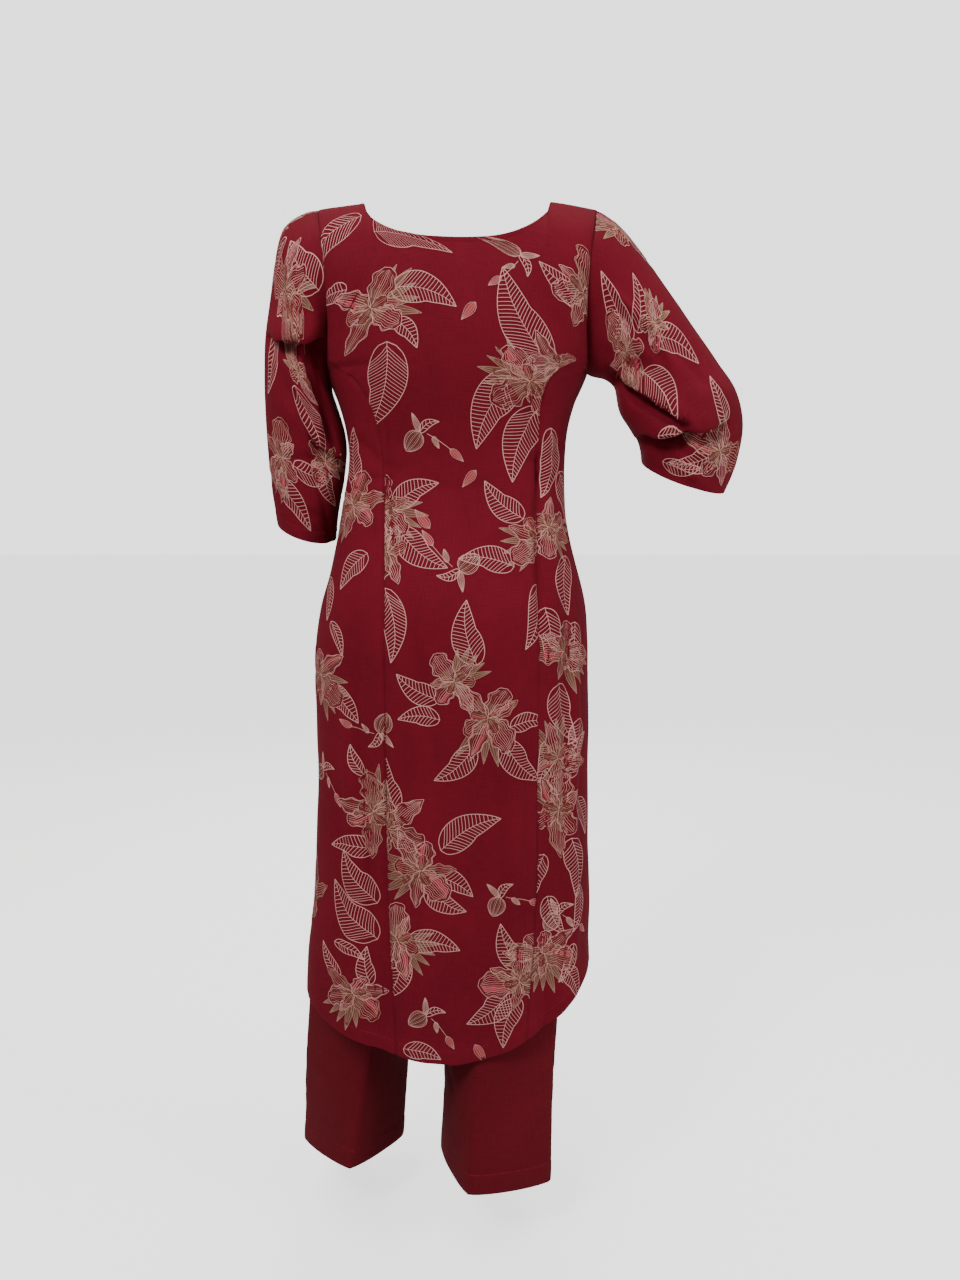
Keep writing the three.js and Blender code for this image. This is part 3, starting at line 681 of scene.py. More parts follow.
def hang_over(side, p):
    """Let the cloth above each lip of a sleeve's back drop over the cloth below it."""
    for lip in SLEEVE_LIPS[side]:
        along = (p.x - lip["x0"]) / (lip["x1"] - lip["x0"])
        near = smooth((along + LIP_ENDS) / LIP_ENDS) * smooth((1 + LIP_ENDS - along) / LIP_ENDS)
        near *= smooth(p.y / LIP_FADE)
        up = (p.z - mix(lip["z0"], lip["z1"], along)) / lip["half"]
        if near == 0 or abs(up) > BELL_REACH:
            continue
        out = bell(up - FOLD_SPACING) - LIP_HOLLOW * bell(up + FOLD_SPACING)
        p = Vector((p.x, p.y + lip["out"] * near * out, p.z - lip["drop"] * near * sway(up)))
    return p


def sleeve(side):
    """One sleeve; its columns run round the arm from the underarm to the underarm."""
    sign = 1 if side == "left" else -1
    rings = SLEEVE_RINGS[side]
    rings = [dict(ring, key=k / (len(rings) - 1)) for k, ring in enumerate(rings)]

    def at(column, along):
        return track(rings, "key", column, along)

    def point(f, up):
        along = 1 - up
        turn = (0.5 + sign * f) % 1
        angle = turn * 2 * math.pi
        puff = slip = 0.0
        for tuck in SLEEVE_TUCKS[side]:
            off = abs(turn - tuck["round"])
            near = bell(min(off, 1 - off) / tuck["wide"])
            x = (along - tuck["along"]) * SLEEVE_LENGTH[side] / tuck["half"]
            slip -= tuck["drop"] * near * sway(x)
            puff += tuck["out"] * near * (bell(x + FOLD_SPACING) - TUCK_HOLLOW * bell(x - FOLD_SPACING))
        for fold in SLEEVE_FOLDS[side]:
            off = abs(turn - fold["round"])
            there = (bell((along - fold["along"]) / fold["long"])
                     * bell(min(off, 1 - off) / fold["wide"]))
            puff += fold["height"] * there
        along = clamp01(along + slip / SLEEVE_LENGTH[side])
        outer = Vector((at("outX", along), 0, at("outZ", along)))
        inner = Vector((at("inX", along), 0, at("inZ", along)))
        middle = (outer + inner) / 2
        arm = outer - middle
        spot = middle + arm * (math.cos(angle) * (1 + puff / arm.length))
        ease = ARMHOLE_EASE * (1 - smooth(along / HEAD_EASE_RUN))
        ease *= max(0, math.cos(angle) + HEAD_EASE_UNDER)
        spot.y += at("y", along) + (at("depth", along) + ease + puff) * math.sin(angle)
        spot.z -= at("sag", along) * math.sin(angle)
        inwards = (1 - math.cos(angle)) / 2
        for lean in SLEEVE_LEANS[side]:
            spot.x -= sign * lean["shift"] * bell((spot.z - lean["z"]) / lean["spread"]) * inwards**2
        return armhole_point(side, angle).lerp(hang_over(side, spot), smooth(along * HEAD_BLEND))

    across = [k / SLEEVE_STEPS for k in range(SLEEVE_STEPS + 1)]
    rows = stops(SLEEVE_ROWS, (0, 1), SLEEVE_TIGHT)
    cloth = Cloth(f"sleeve_{side}", across, rows, point, ring=True)
    cloth.lay_tube_flat(0.75 if side == "left" else 0.25)
    return cloth


HIP_EASE_RATE = 2
THIGH_FROM = 0.6
RISE_CURVE = 3
RISE_CROWDING = 1.5


def leg_section(side, z):
    """Edges, reaches and turn of a leg at a level; above the crotch it follows the kurta's hips."""
    rows = LEGS[side]
    if z < CROTCH:
        columns = ("out", "in", "back", "front", "y", "turn", "round")
        values = {column: track(rows, "z", column, z) for column in columns}
        values["turn"] = math.radians(values["turn"])
        return values
    sign = 1 if side == "left" else -1
    down = clamp01((BAND_BOTTOM - z) / (BAND_BOTTOM - CROTCH))
    ease = CAD_WALL + mix(HIP_CLEARANCE, HIP_EASE, smooth(down * HIP_EASE_RATE))
    first = rows[0]
    hips = track(BODY, "z", side, z) - ease
    out = sign * mix(hips, abs(first["out"]), smooth((down - THIGH_FROM) / (1 - THIGH_FROM)))
    return {
        "out": out,
        "in": -out * (1 - down**RISE_CURVE),
        "y": 0,
        "turn": 0,
        "back": mix(track(BODY, "z", "back", z) - ease, first["back"], smooth(down)),
        "front": mix(track(BODY, "z", "front", z) - ease, first["front"], smooth(down)),
        "round": mix(BODY_ROUNDNESS, first["round"], down),
    }


def trouser_panel(face, side):
    """One trouser piece, between its outer seam and its inseam and rise seam."""
    sign = 1 if side == "left" else -1

    def point(f, v):
        rise = max(0, v - 1) ** RISE_CROWDING
        z = mix(TROUSER_HEM, CROTCH, v) if v <= 1 else mix(CROTCH, BAND_BOTTOM, rise)
        leg = leg_section(side, z)
        middle, half = (leg["out"] + leg["in"]) / 2, (leg["out"] - leg["in"]) / 2
        far = -1 if v < 1 else max(-1, -middle / half)
        t = math.cos(math.acos(far) * f)
        swell = (1 - min(1, abs(t)) ** leg["round"]) ** (1 / leg["round"])
        y = leg["back"] * swell if face == "back" else -leg["front"] * swell
        x, turn = half * t, leg["turn"]
        if v >= 1 and f == 1:
            return Vector((sign * SEAM_GAP / 2, leg["y"] + y, z))
        return Vector((middle + x * math.cos(turn) + y * math.sin(turn),
                       leg["y"] - x * math.sin(turn) + y * math.cos(turn), z))

    across = stops(PANEL_COLUMNS, (0, 0.5, 1))
    if (face == "back") == (side == "right"):
        across.reverse()
    rows = stops(LEG_ROWS, (0, 1), LEG_TIGHT)[:-1] + [1 + f for f in stops(RISE_ROWS)]
    cloth = Cloth(f"trouser_{face}_{side}", across, rows, point)
    cloth.lay_flat(lambda p: 0.0, KNEE)
    return cloth


def waistband():
    """The band that closes the trousers at the top."""
    def point(f, v):
        angle = -f * 2 * math.pi
        z = mix(BAND_BOTTOM + SEAM_GAP, BAND_TOP, v)
        ease = CAD_WALL + HIP_CLEARANCE
        t = math.cos(angle)
        x = t * (track(BODY, "z", "left" if t > 0 else "right", z) - ease)
        swell = clamp01(1 - abs(t) ** BODY_ROUNDNESS) ** (1 / BODY_ROUNDNESS)
        face = "back" if math.sin(angle) > 0 else "front"
        y = swell * (track(BODY, "z", face, z) - ease)
        return Vector((x, y if face == "back" else -y, z))

    across = [k / BAND_STEPS for k in range(BAND_STEPS + 1)]
    rows = [k / BAND_ROWS for k in range(BAND_ROWS + 1)]
    cloth = Cloth("trouser_waistband", across, rows, point, ring=True)
    cloth.lay_flat(lambda p: 0.0, BAND_BOTTOM)
    return cloth


# ---------- meshes ----------
def make_cloth_mesh(cloth, thickness, material):
    """The sheet as a shell, its UV map the flat pattern in metres."""
    columns, rows = len(cloth.across) - 1, len(cloth.along) - 1
    bm = bmesh.new()
    bmesh.ops.create_grid(bm, x_segments=columns, y_segments=rows, size=1.0, calc_uvs=True)
    uv = bm.loops.layers.uv.verify()
    place = {}
    for vert in bm.verts:
        i = round((vert.co.x + 1) / 2 * columns)
        j = round((vert.co.y + 1) / 2 * rows)
        place[vert] = (i, j)
    for face in bm.faces:
        for loop in face.loops:
            i, j = place[loop.vert]
            a, b = cloth.flat[i][j]
            loop[uv].uv = (a * MM, b * MM)
    for vert, (i, j) in place.items():
        vert.co = cloth.points[i][j] * MM
    if cloth.ring:
        bmesh.ops.remove_doubles(bm, verts=bm.verts, dist=NEARLY)
    for face in bm.faces:
        face.smooth = True
    piece = object_from(bm, cloth.name + "_cloth", material)
    shell = piece.modifiers.new("Cloth thickness", "SOLIDIFY")
    shell.thickness = thickness
    shell.offset = -1
    shell.use_even_offset = False
    return piece


def object_from(bm, name, material):
    """Link a finished mesh as an object at the origin."""
    mesh = bpy.data.meshes.new(name)
    bm.to_mesh(mesh)
    bm.free()
    mesh.materials.append(material)
    piece = bpy.data.objects.new(name, mesh)
    bpy.context.scene.collection.objects.link(piece)
    return piece


# ---------- creases and seams ----------
CREASE_COLUMNS = "a0 b0 a1 b1 width height"

# On the flat pattern seen from outside: a to the right, b up. Negative heights are troughs.
BACK_CREASES = table(
    CREASE_COLUMNS,
    (97, -262, 110, -372, 7, -3.4),
    (110, -372, 108, -560, 7, -3.6),
    (129, -300, 131, -520, 11, 2.4),
    (-92, -300, -85, -452, 6, -2.2),
    (-106, -330, -99, -440, 8, 1.6),
    (9, -270, 9, -490, 9, -1.3),
    (-118, -92, -158, -196, 13, -1.8),
    (-84, -84, -120, -180, 15, 1.2),
    (104, -90, 150, -190, 13, -1.6),
    (-150, -318, -78, -352, 10, -1.8),
    (-158, -386, -88, -362, 9, -1.6),
    (150, -322, 92, -350, 9, -1.7),
    (158, -392, 104, -366, 10, -1.5),
    (-34, -372, 38, -388, 12, -1.0),
    (-52, -560, -30, -860, 15, -2.0),
    (60, -600, 46, -1010, 17, -1.6),
    (-128, -640, -118, -1020, 10, -3.2),
    (-146, -700, -150, -1020, 11, 2.2),
    (140, -640, 138, -980, 12, -2.4),
    (-4, -900, -12, -1140, 16, 1.8),
    (132, -600, 130, -1040, 8, 2.6),
    (152, -560, 154, -1020, 9, -3.0),
    (172, -600, 170, -980, 9, 2.2),
    (94, -640, 86, -1060, 9, -2.4),
    (-106, -620, -104, -1050, 8, 2.4),
    (-66, -680, -64, -1090, 13, -1.8),
    (-28, -120, -34, -420, 14, -1.2),
    (52, -130, 60, -400, 14, -1.2),
)

FRONT_CREASES = table(
    CREASE_COLUMNS,
    (-112, -118, -150, -214, 14, -2.0),
    (108, -112, 152, -206, 13, -1.8),
    (-150, -250, -92, -282, 10, -2.2),
    (152, -246, 96, -276, 11, -2.0),
    (-146, -338, -84, -356, 11, -1.8),
    (150, -352, 92, -366, 10, -1.7),
    (-70, -470, -92, -900, 17, -2.4),
    (24, -520, 18, -1040, 18, -1.8),
    (98, -500, 112, -960, 14, -2.6),
    (134, -620, 140, -1010, 12, 2.0),
    (-134, -640, -142, -1000, 12, -2.0),
)

# Sleeves: a from the middle of the back half, b down from the armhole seam.
SLEEVE_CREASES = {
    "left": table(
        CREASE_COLUMNS,
        (-70, -40, -20, -120, 13, -2.2),
        (20, -30, 62, -110, 12, -2.4),
        (-62, -150, 30, -170, 10, -2.0),
        (-40, -262, 64, -230, 9, -3.0),
        (-60, -300, 40, -322, 9, -2.2),
        (30, -252, 58, -390, 9, -2.6),
        (52, -96, 66, -200, 9, -7.5),
        (30, -104, 40, -196, 9, 4.0),
        (10, -180, 50, -262, 9, -5.0),
        (-180, -120, -130, -190, 12, -2.4),
        (-220, -230, -130, -250, 10, -2.6),
        (-200, -310, -110, -290, 11, -2.2),
    ),
    "right": table(
        CREASE_COLUMNS,
        (-66, -36, -18, -150, 11, -2.6),
        (-8, -60, 34, -190, 10, -2.8),
        (-64, -160, 10, -260, 9, -2.6),
        (-62, -230, 20, -300, 9, -3.2),
        (4, -34, 6, -128, 6, 4.5),
        (-10, -40, -8, -130, 7, -3.5),
        (-80, -118, -30, -190, 10, -6.0),
        (-50, -306, 54, -330, 9, -2.8),
        (40, -210, 60, -300, 9, -2.2),
        (130, -120, 190, -180, 12, -2.4),
        (120, -250, 210, -262, 10, -2.8),
        (110, -330, 190, -310, 11, -2.4),
    ),
}

TROUSER_CREASES = table(
    CREASE_COLUMNS,
    (-60, -980, 40, -1010, 13, -1.6),
    (-52, -1120, 60, -1096, 14, -1.8),
    (-20, -1190, 70, -1224, 12, -1.4),
    (-66, -1262, 24, -1248, 13, -1.5),
    (20, -760, 70, -860, 16, -1.6),
)

# A crease runs past both ends, wanders, and has low banks; slack is a height and a scale.
CREASE_OVERRUN = 0.3
CREASE_FADE = 0.5
CREASE_WANDER = 0.5
CREASE_WAVES = 5
CREASE_REACH = 3
CREASE_BANKS = 0.55
SLACK_BROAD = (1.5, 0.011)
SLACK_FINE = (0.5, 0.034)
SLACK_STRETCH = 0.6

# Seams, turned edges and their stitch lines, millimetres.
SEAM_DIP = 1.9
SEAM_DIP_WIDTH = 2.9
PUCKER_HEIGHT = 0.45
PUCKER_REACH = 8.0
PUCKER_RATE = 0.085
PUCKER_PLACE = (0.4, 0.7)
TURNED_HEIGHT = 0.45
TURNED_STEP = 1.6
STITCH_DIP = 0.35
STITCH_DIP_WIDTH = 1.5
ARMHOLE_FADE = 9.0
SEAM_REACH = 40


def crease_lines(rows):
    """Each crease as start, direction, length, width and height."""
    lines = []
    for row in rows:
        da, db = row["a1"] - row["a0"], row["b1"] - row["b0"]
        length = math.hypot(da, db)
        along = (da / length, db / length, length)
        lines.append((row["a0"], row["b0"], *along, row["width"], row["height"]))
    return lines


def crease_height(lines, a, b):
    """Height of all creases at a place on the flat pattern."""
    total = 0.0
    for a0, b0, ua, ub, length, width, height in lines:
        along = ((a - a0) * ua + (b - b0) * ub) / length
        if not -CREASE_OVERRUN < along < 1 + CREASE_OVERRUN:
            continue
        off = ((a - a0) * ub - (b - b0) * ua) / width
        off += CREASE_WANDER * math.sin(along * CREASE_WAVES + a0)
        if abs(off) > CREASE_REACH:
            continue
        ends = smooth((along + CREASE_OVERRUN) / CREASE_FADE)
        ends *= smooth((1 + CREASE_OVERRUN - along) / CREASE_FADE)
        total += height * ends * (1 - CREASE_BANKS * off * off) * math.exp(-off * off)
    return total


def slack(p):
    """Slow unevenness of hanging cloth, the same on every piece that meets at a place."""
    broad, broad_scale = SLACK_BROAD
    fine, fine_scale = SLACK_FINE
    stretched = Vector((p.x, p.y, p.z * SLACK_STRETCH))
    return broad * noise.noise(p * broad_scale) + fine * noise.noise(stretched * fine_scale)


def seam_dip(edge, along):
    """The dip of a seam with the puckers that its thread pulls up beside it."""
    pull = noise.noise(Vector((along * PUCKER_RATE, *PUCKER_PLACE)))
    return (-SEAM_DIP * math.exp(-(edge / SEAM_DIP_WIDTH) ** 2)
            + PUCKER_HEIGHT * pull * math.exp(-edge / PUCKER_REACH))


def turned_edge(edge, width):
    """Doubled cloth along a turned edge, with the dip of its stitch line."""
    raised = TURNED_HEIGHT * smooth((width - edge) / TURNED_STEP + 0.5)
    return raised - STITCH_DIP * math.exp(-((edge - width) / STITCH_DIP_WIDTH) ** 2)


# Widths of the turned edges, and how much deeper the back's relief is than the front's.
KURTA_HEM = 19
NECK_TURN = 6
SLIT_TURN = 15
CUFF_TURN = 16
TROUSER_TURN = 28
BACK_SWING = 1.45


def shape_cloth(cloth, creases, left="sewn", right="sewn", bottom=0, top=0, set_in=False, swing=1.0):
    """Relief of one sheet: creases, slack, seam dips and turned edges.

    left and right are sewn, slit (sewn above, turned below) or none; bottom and top are the
    widths of turned edges, or 0; a set-in top is sewn to the armhole and has no folds there.
    """
    lines = crease_lines(creases)
    columns, rows = len(cloth.across), len(cloth.along)

    def height(i, j):
        a, b = cloth.flat[i][j]
        p = cloth.points[i][j]
        total = swing * (crease_height(lines, a, b) + slack(p))
        from_left, from_right = a - cloth.flat[0][j][0], cloth.flat[columns - 1][j][0] - a
        for kind, edge in ((left, from_left), (right, from_right)):
            if kind == "none" or edge > SEAM_REACH:
                continue
            if kind == "slit" and b < SLIT_TOP:
                total += turned_edge(edge, SLIT_TURN)
                continue
            if b > ARMHOLE_BOTTOM:
                total *= smooth(edge / ARMHOLE_FADE)
                continue
            if kind == "slit":
                total *= smooth(edge / ARMHOLE_FADE)
            total += seam_dip(edge, b)
        low = b - cloth.flat[i][0][1]
        high = cloth.flat[i][rows - 1][1] - b
        if bottom and low < bottom * 2:
            total += turned_edge(low, bottom)
        if top and high < top * 2:
            total += turned_edge(high, top)
        if set_in:
            total *= smooth(high / ARMHOLE_FADE)
        return total

    cloth.move(height)


# ---------- printed drawing ----------
class Drawing:
    """Lines and filled bands on the flat pattern, millimetres, on levels that cover each other."""

    def __init__(self):
        self.lines = []
        self.bands = []

    def line(self, ink, width, points):
        self.lines.append((ink, width, points, 0))

    def band(self, ink, side, other):
        self.bands.append((ink, side, other, 0))

    def add(self, other, a=0.0, b=0.0, turn=0.0, mirror=1, level=0):
        """Add another drawing, turned anticlockwise by degrees and moved to a, b."""
        c, s = math.cos(math.radians(turn)), math.sin(math.radians(turn))

        def put(points):
            return [(a + x * c - y * mirror * s, b + x * s + y * mirror * c) for x, y in points]

        self.lines += [(ink, width, put(points), low + level) for ink, width, points, low in other.lines]
        self.bands += [(ink, put(side), put(rest), low + level) for ink, side, rest, low in other.bands]
        return self


# Widths of the inked lines, how far apart veins and hatching are, and how far veins slant.
OUTLINE = 0.95
VEIN = 0.68
HATCH = 0.52
VEIN_STEP = 5.2
VEIN_LEAN = 0.2
HATCH_STEP = 2.9


def curve(count, at):
    """A polyline through count + 1 even stops of a curve."""
    return [at(k / count) for k in range(count + 1)]


def lobe(u, rise, fall):
    """A rounded start and a pointed end between 0 and 1, its highest value 1."""
    if not 0 < u < 1:
        return 0.0
    top = rise / (rise + fall)
    return (u / top) ** rise * ((1 - u) / (1 - top)) ** fall


def almond(length, wide, blunt, full):
    """A pointed oval's lines: f runs from -1 to 1 across it and u from 0 to 1 along it."""

    def edge(f, u):
        return length * u, wide * f * math.sin(math.pi * u**blunt) ** full if 0 < u < 1 else 0.0

    return edge


def veined(art, length, rib, sides):
    """Slanting lines from the midrib to both edges."""
    count = max(5, round(length / VEIN_STEP))
    for k in range(1, count):
        u = k / count
        end = min(0.99, u + VEIN_LEAN * (1 - u))
        for sign, shape in zip((1, -1), sides):
            tip = rib(end) + sign * shape(end)

            def vein(f, u=u, end=end, tip=tip):
                x = mix(u, end, f)
                return length * x, mix(rib(x), tip, f**1.15)

            art.line("rose", VEIN, curve(3, vein))


def leaf(length, bend=0.05, wide=0.24, lobed=True):
    """A pointed leaf from its stalk end at 0, 0 along +x; a lobed one is notched on one side."""
    art = Drawing()
    half = length * wide

    def rib(u):
        return length * (bend * math.sin(math.pi * u) - 0.09 * u**4)

    def full(u):
        return half * lobe(u, 0.55, 0.95)

    def notched(u):
        base = 0.92 * lobe(u / 0.64, 0.55, 0.5)
        return half * max(base, 0.66 * lobe((u - 0.34) / 0.66, 0.4, 0.95))

    lower = notched if lobed else full
    for sign, shape in ((1, full), (-1, lower)):
        art.line("rose", OUTLINE, curve(26, lambda u, s=sign, f=shape: (length * u, rib(u) + s * f(u))))
    art.line("rose", VEIN, curve(14, lambda u: (length * u, rib(u))))
    veined(art, length, rib, (full, lower))
    return art


def slim_leaf(length):
    """A narrow leaf with smooth edges."""
    return leaf(length, 0.06, 0.17, lobed=False)


def petal(length, wide, inks, seed, tip=0.5):
    """A ruffled petal with lines fanned from its foot at 0, 0 along +x; a higher tip is sharper."""
    art = Drawing()

    def rib(u):
        return length * 0.16 * math.sin(seed * 1.7 + 0.6) * u * u

    def ruffled(side):
        return lambda u: wide * lobe(u, 0.74, tip) * (1 + 0.15 * math.sin(19 * u + seed * 1.3 + side))

    upper, lower = ruffled(0), ruffled(2)

    def side_line(shape, share, low=0.0, high=1.0):
        def spot(f):
            u = mix(low, high, f)
            return length * u, rib(u) + share * shape(u)

        return spot

    art.band("ground", curve(9, side_line(upper, 1)), curve(9, side_line(lower, -1)))
    if seed % 4 == 1:
        strip = [curve(6, side_line(upper, share, 0.1, 0.9)) for share in (0.6, 0.15)]
        art.band("pink", *strip)
    art.band("rust", curve(5, side_line(upper, 0.8, 0, 0.42)), curve(5, side_line(lower, -0.8, 0, 0.42)))
    for shape, sign in ((upper, 1), (lower, -1)):
        art.line(inks[0], VEIN, curve(18, side_line(shape, sign)))
    count = max(3, round(wide / HATCH_STEP))
    for shape, sign in ((upper, 1), (lower, -1)):
        for k in range(count):
            share = sign * (k + 0.5) / count
            end = 0.95 - 0.13 * abs(share)
            start = 0.12 + 0.1 * (k % 2)
            art.line(inks[k % len(inks)], HATCH, curve(7, side_line(shape, share, start, end)))
    return art


def flower(radius, seed):
    """Six uneven petals over a fringe of narrow blades, with two small petals folded in."""
    art = Drawing()
    inks = (("rose", "rose", "beige"), ("beige", "rose"), ("rose", "beige", "olive"))
    art.add(spray(radius * 1.75), turn=100 * seed + 30)
    for k in range(6):
        turn = 60 * k + 13 * math.sin(seed * 3 + k * 2)
        size = radius * (1.06 + 0.26 * math.sin(seed * 2 + k * 2.3))
        wide, tip = (0.31, 0.55) if k % 2 else (0.22, 0.95)
        shape = petal(size * (1.3 - wide), size * wide, inks[(k + seed) % 3], seed + k, tip)
        art.add(shape, turn=turn, level=1)
    for k in range(2):
        folded = petal(radius * 0.5, radius * 0.16, ("beige", "olive"), seed + k)
        art.add(folded, turn=150 * k + 47 * seed, level=2)
    return art


def blade(length, wide, inks=("beige", "olive")):
    """A narrow pointed blade with long hatching."""
    art = Drawing()
    edge = almond(length, wide, 0.7, 0.8)
    art.band("rust", curve(8, lambda u: edge(-0.9, u)), curve(8, lambda u: edge(0.9, u)))
    for k in range(7):
        f = mix(-1, 1, k / 6)
        ink = inks[k % len(inks)]
        span = (0, 1) if abs(f) == 1 else (0.06, 0.93)
        width = VEIN if abs(f) == 1 else HATCH
        art.line(ink, width, curve(8, lambda u, f=f: edge(f, mix(*span, u))))
    return art


SPRAY_BLADES = 5
SPRAY_SPREAD = 34


def spray(length):
    """Blades of uneven length fanned from 0, 0 along +x."""
    art = Drawing()
    for k in range(SPRAY_BLADES):
        turn = mix(-SPRAY_SPREAD, SPRAY_SPREAD, k / (SPRAY_BLADES - 1))
        size = length * (1 - 0.3 * abs(math.sin(k * 1.7 + 0.6)))
        art.add(blade(size, size * 0.1), turn=turn)
    return art


def bud(length):
    """A small ovate bud with long lines."""
    art = Drawing()
    edge = almond(length, length * 0.2, 0.7, 1)
    art.band("pink", curve(6, lambda u: edge(-0.8, u)), curve(6, lambda u: edge(0.8, u)))
    for f in (-1, -0.45, 0.1, 0.6, 1):
        art.line("rose" if abs(f) == 1 else "beige", HATCH, curve(7, lambda u, f=f: edge(f, u)))
    return art


def round_leaf(length):
    """A small broad leaf, closely hatched, with a pointed tip."""
    art = Drawing()
    edge = almond(length, length * 0.42, 0.8, 0.6)
    for f in (-1, 1):
        art.line("rose", VEIN, curve(12, lambda u, f=f: edge(f, u)))
    for k in range(11):
        f = mix(-0.86, 0.86, k / 10)
        ink = ("beige", "rose", "olive")[k % 3]
        art.line(ink, HATCH, curve(6, lambda u, f=f: edge(f, mix(0.05, 0.94, u))))
    return art


def sprout(size):
    """Two small leaves and a blade, with a second blade and a bud on a thin stem."""
    art = Drawing()
    art.add(round_leaf(size), turn=-128)
    art.add(leaf(size * 0.95, 0.14, 0.2, lobed=False), turn=32)
    art.add(blade(size * 0.9, size * 0.13, ("rose", "beige")), turn=112)
    art.line("rose", VEIN, [(size * 0.3, -2), (size * 0.8, -size * 0.35), (size * 1.35, -size * 0.75)])
    art.add(blade(size * 0.6, size * 0.12, ("beige", "rose")), size * 0.55, -size * 0.18, -62)
    art.add(bud(size * 0.8), size * 1.3, -size * 0.72, -42)
    return art


# ---------- layout of the print ----------
MOTIF_COLUMNS = "a b turn size kind"

# The middle of the back, rows from the neck to the hem.
BACK_MOTIFS = table(
    MOTIF_COLUMNS,
    (-90, -46, -16, 102, "leaf"),
    (-122, -14, 194, 92, "leaf"),
    (176, -104, 164, 74, "leaf"),
    (166, -88, 30, 42, "flower"),
    (-81, -122, -14, 87, "leaf"),
    (-77, -162, -49, 48, "leaf"),
    (-87, -188, -101, 119, "leaf"),
    (-139, -109, 157, 46, "leaf"),
    (121, -202, 124, 124, "leaf"),
    (79, -232, -124, 111, "leaf_mirrored"),
    (108, -275, -115, 103, "leaf_mirrored"),
    (-84, -405, 33, 68, "leaf"),
    (-77, -434, -44, 84, "leaf_mirrored"),
    (-94, -514, -80, 97, "leaf_slim"),
    (88, -421, 141, 72, "leaf"),
    (75, -485, 167, 73, "leaf_mirrored"),
    (108, -508, -97, 87, "leaf_slim"),
    (26, -612, 104, 84, "leaf"),
    (60, -712, -52, 78, "leaf_mirrored"),
    (-22, -658, 155, 65, "leaf"),
    (-22, -684, 176, 55, "leaf_mirrored"),
    (23, -720, -134, 70, "leaf"),
    (69, -694, 8, 52, "leaf"),
    (-22, -860, 33, 90, "leaf"),
    (-35, -893, -25, 64, "leaf"),
    (-42, -907, -41, 66, "leaf_mirrored"),
    (-81, -807, 106, 70, "leaf"),
    (-68, -986, -6, 72, "leaf"),
    (-74, -1006, -107, 70, "leaf"),
    (88, -1026, 121, 70, "leaf"),
    (72, -1053, -134, 79, "leaf"),
    (82, -1066, -111, 74, "leaf_mirrored"),
    (-74, -1139, -12, 53, "leaf"),
    (84, -75, -100, 27, "sprout"),
    (-48, -308, 0, 30, "sprout"),
    (4, -490, -194, 32, "sprout"),
    (-100, -704, 200, 28, "sprout"),
    (56, -926, 20, 28, "sprout"),
    (-43, -1089, -20, 28, "sprout"),
    (26, -143, -128, 30, "bud"),
    (25, -357, -130, 28, "bud"),
    (-35, -434, 128, 32, "bud"),
    (23, -1135, -60, 30, "bud"),
    (-107, -142, 10, 46, "flower"),
    (95, -242, 40, 48, "flower"),
    (134, -208, 5, 44, "flower"),
    (-100, -408, 25, 44, "flower"),
    (-92, -466, 70, 36, "flower"),
    (114, -448, 50, 42, "flower"),
    (40, -682, 15, 46, "flower"),
    (-3, -634, 60, 34, "flower"),
    (-94, -833, 35, 46, "flower"),
    (-48, -887, 5, 44, "flower"),
    (-81, -986, 50, 40, "flower"),
    (84, -1044, 20, 44, "flower"),
    (114, -1006, 65, 38, "flower"),
)

# The side backs are cut with the print elsewhere, so motifs break at the shaped seams.
SIDE_MOTIFS = {
    "left": table(
        MOTIF_COLUMNS,
        (-96, -262, -64, 78, "leaf"),
        (-142, -374, 98, 76, "leaf"),
        (-116, -468, 222, 66, "leaf_mirrored"),
        (-196, -500, -76, 60, "leaf_slim"),
        (-176, -560, -60, 50, "leaf_slim"),
        (-182, -648, -38, 66, "leaf"),
        (-100, -704, 200, 28, "sprout"),
        (-196, -762, -20, 26, "sprout"),
        (-112, -866, 172, 64, "leaf_mirrored"),
        (-126, -764, 118, 46, "leaf_slim"),
        (-108, -938, 128, 86, "leaf"),
        (-108, -988, 134, 100, "leaf"),
        (-170, -996, -20, 48, "leaf_slim"),
        (-232, -870, -84, 60, "leaf_slim"),
        (-118, -1052, 100, 54, "leaf"),
        (-160, -1042, 132, 52, "leaf_slim"),
        (-144, -402, 20, 44, "flower"),
        (-202, -633, 30, 44, "flower"),
        (-112, -812, 35, 46, "flower"),
        (-232, -944, 10, 40, "flower"),
        (-142, -1064, 10, 38, "flower"),
    ),
    "right": table(
        MOTIF_COLUMNS,
        (170, -560, -100, 66, "leaf"),
        (136, -740, -20, 40, "flower"),
        (172, -800, -60, 60, "leaf"),
        (126, -930, -70, 60, "leaf_mirrored"),
        (166, -1000, -110, 56, "leaf_slim"),
        (126, -300, -92, 92, "leaf_slim"),
        (146, -356, -66, 74, "leaf"),
        (124, -432, -30, 38, "flower"),
        (160, -470, -96, 80, "leaf_mirrored"),
        (118, -540, -84, 74, "leaf"),
        (150, -598, 12, 42, "flower"),
        (138, -640, -76, 84, "leaf_mirrored"),
        (176, -690, -110, 62, "leaf"),
        (120, -716, -96, 60, "leaf_slim"),
        (150, -770, 60, 72, "leaf"),
        (140, -812, 20, 46, "flower"),
        (160, -852, -80, 82, "leaf"),
        (120, -872, -108, 66, "leaf_mirrored"),
        (176, -920, -96, 64, "leaf_slim"),
        (140, -956, 0, 28, "sprout"),
        (120, -1010, 40, 40, "flower"),
        (150, -1030, -60, 56, "leaf"),
    ),
}

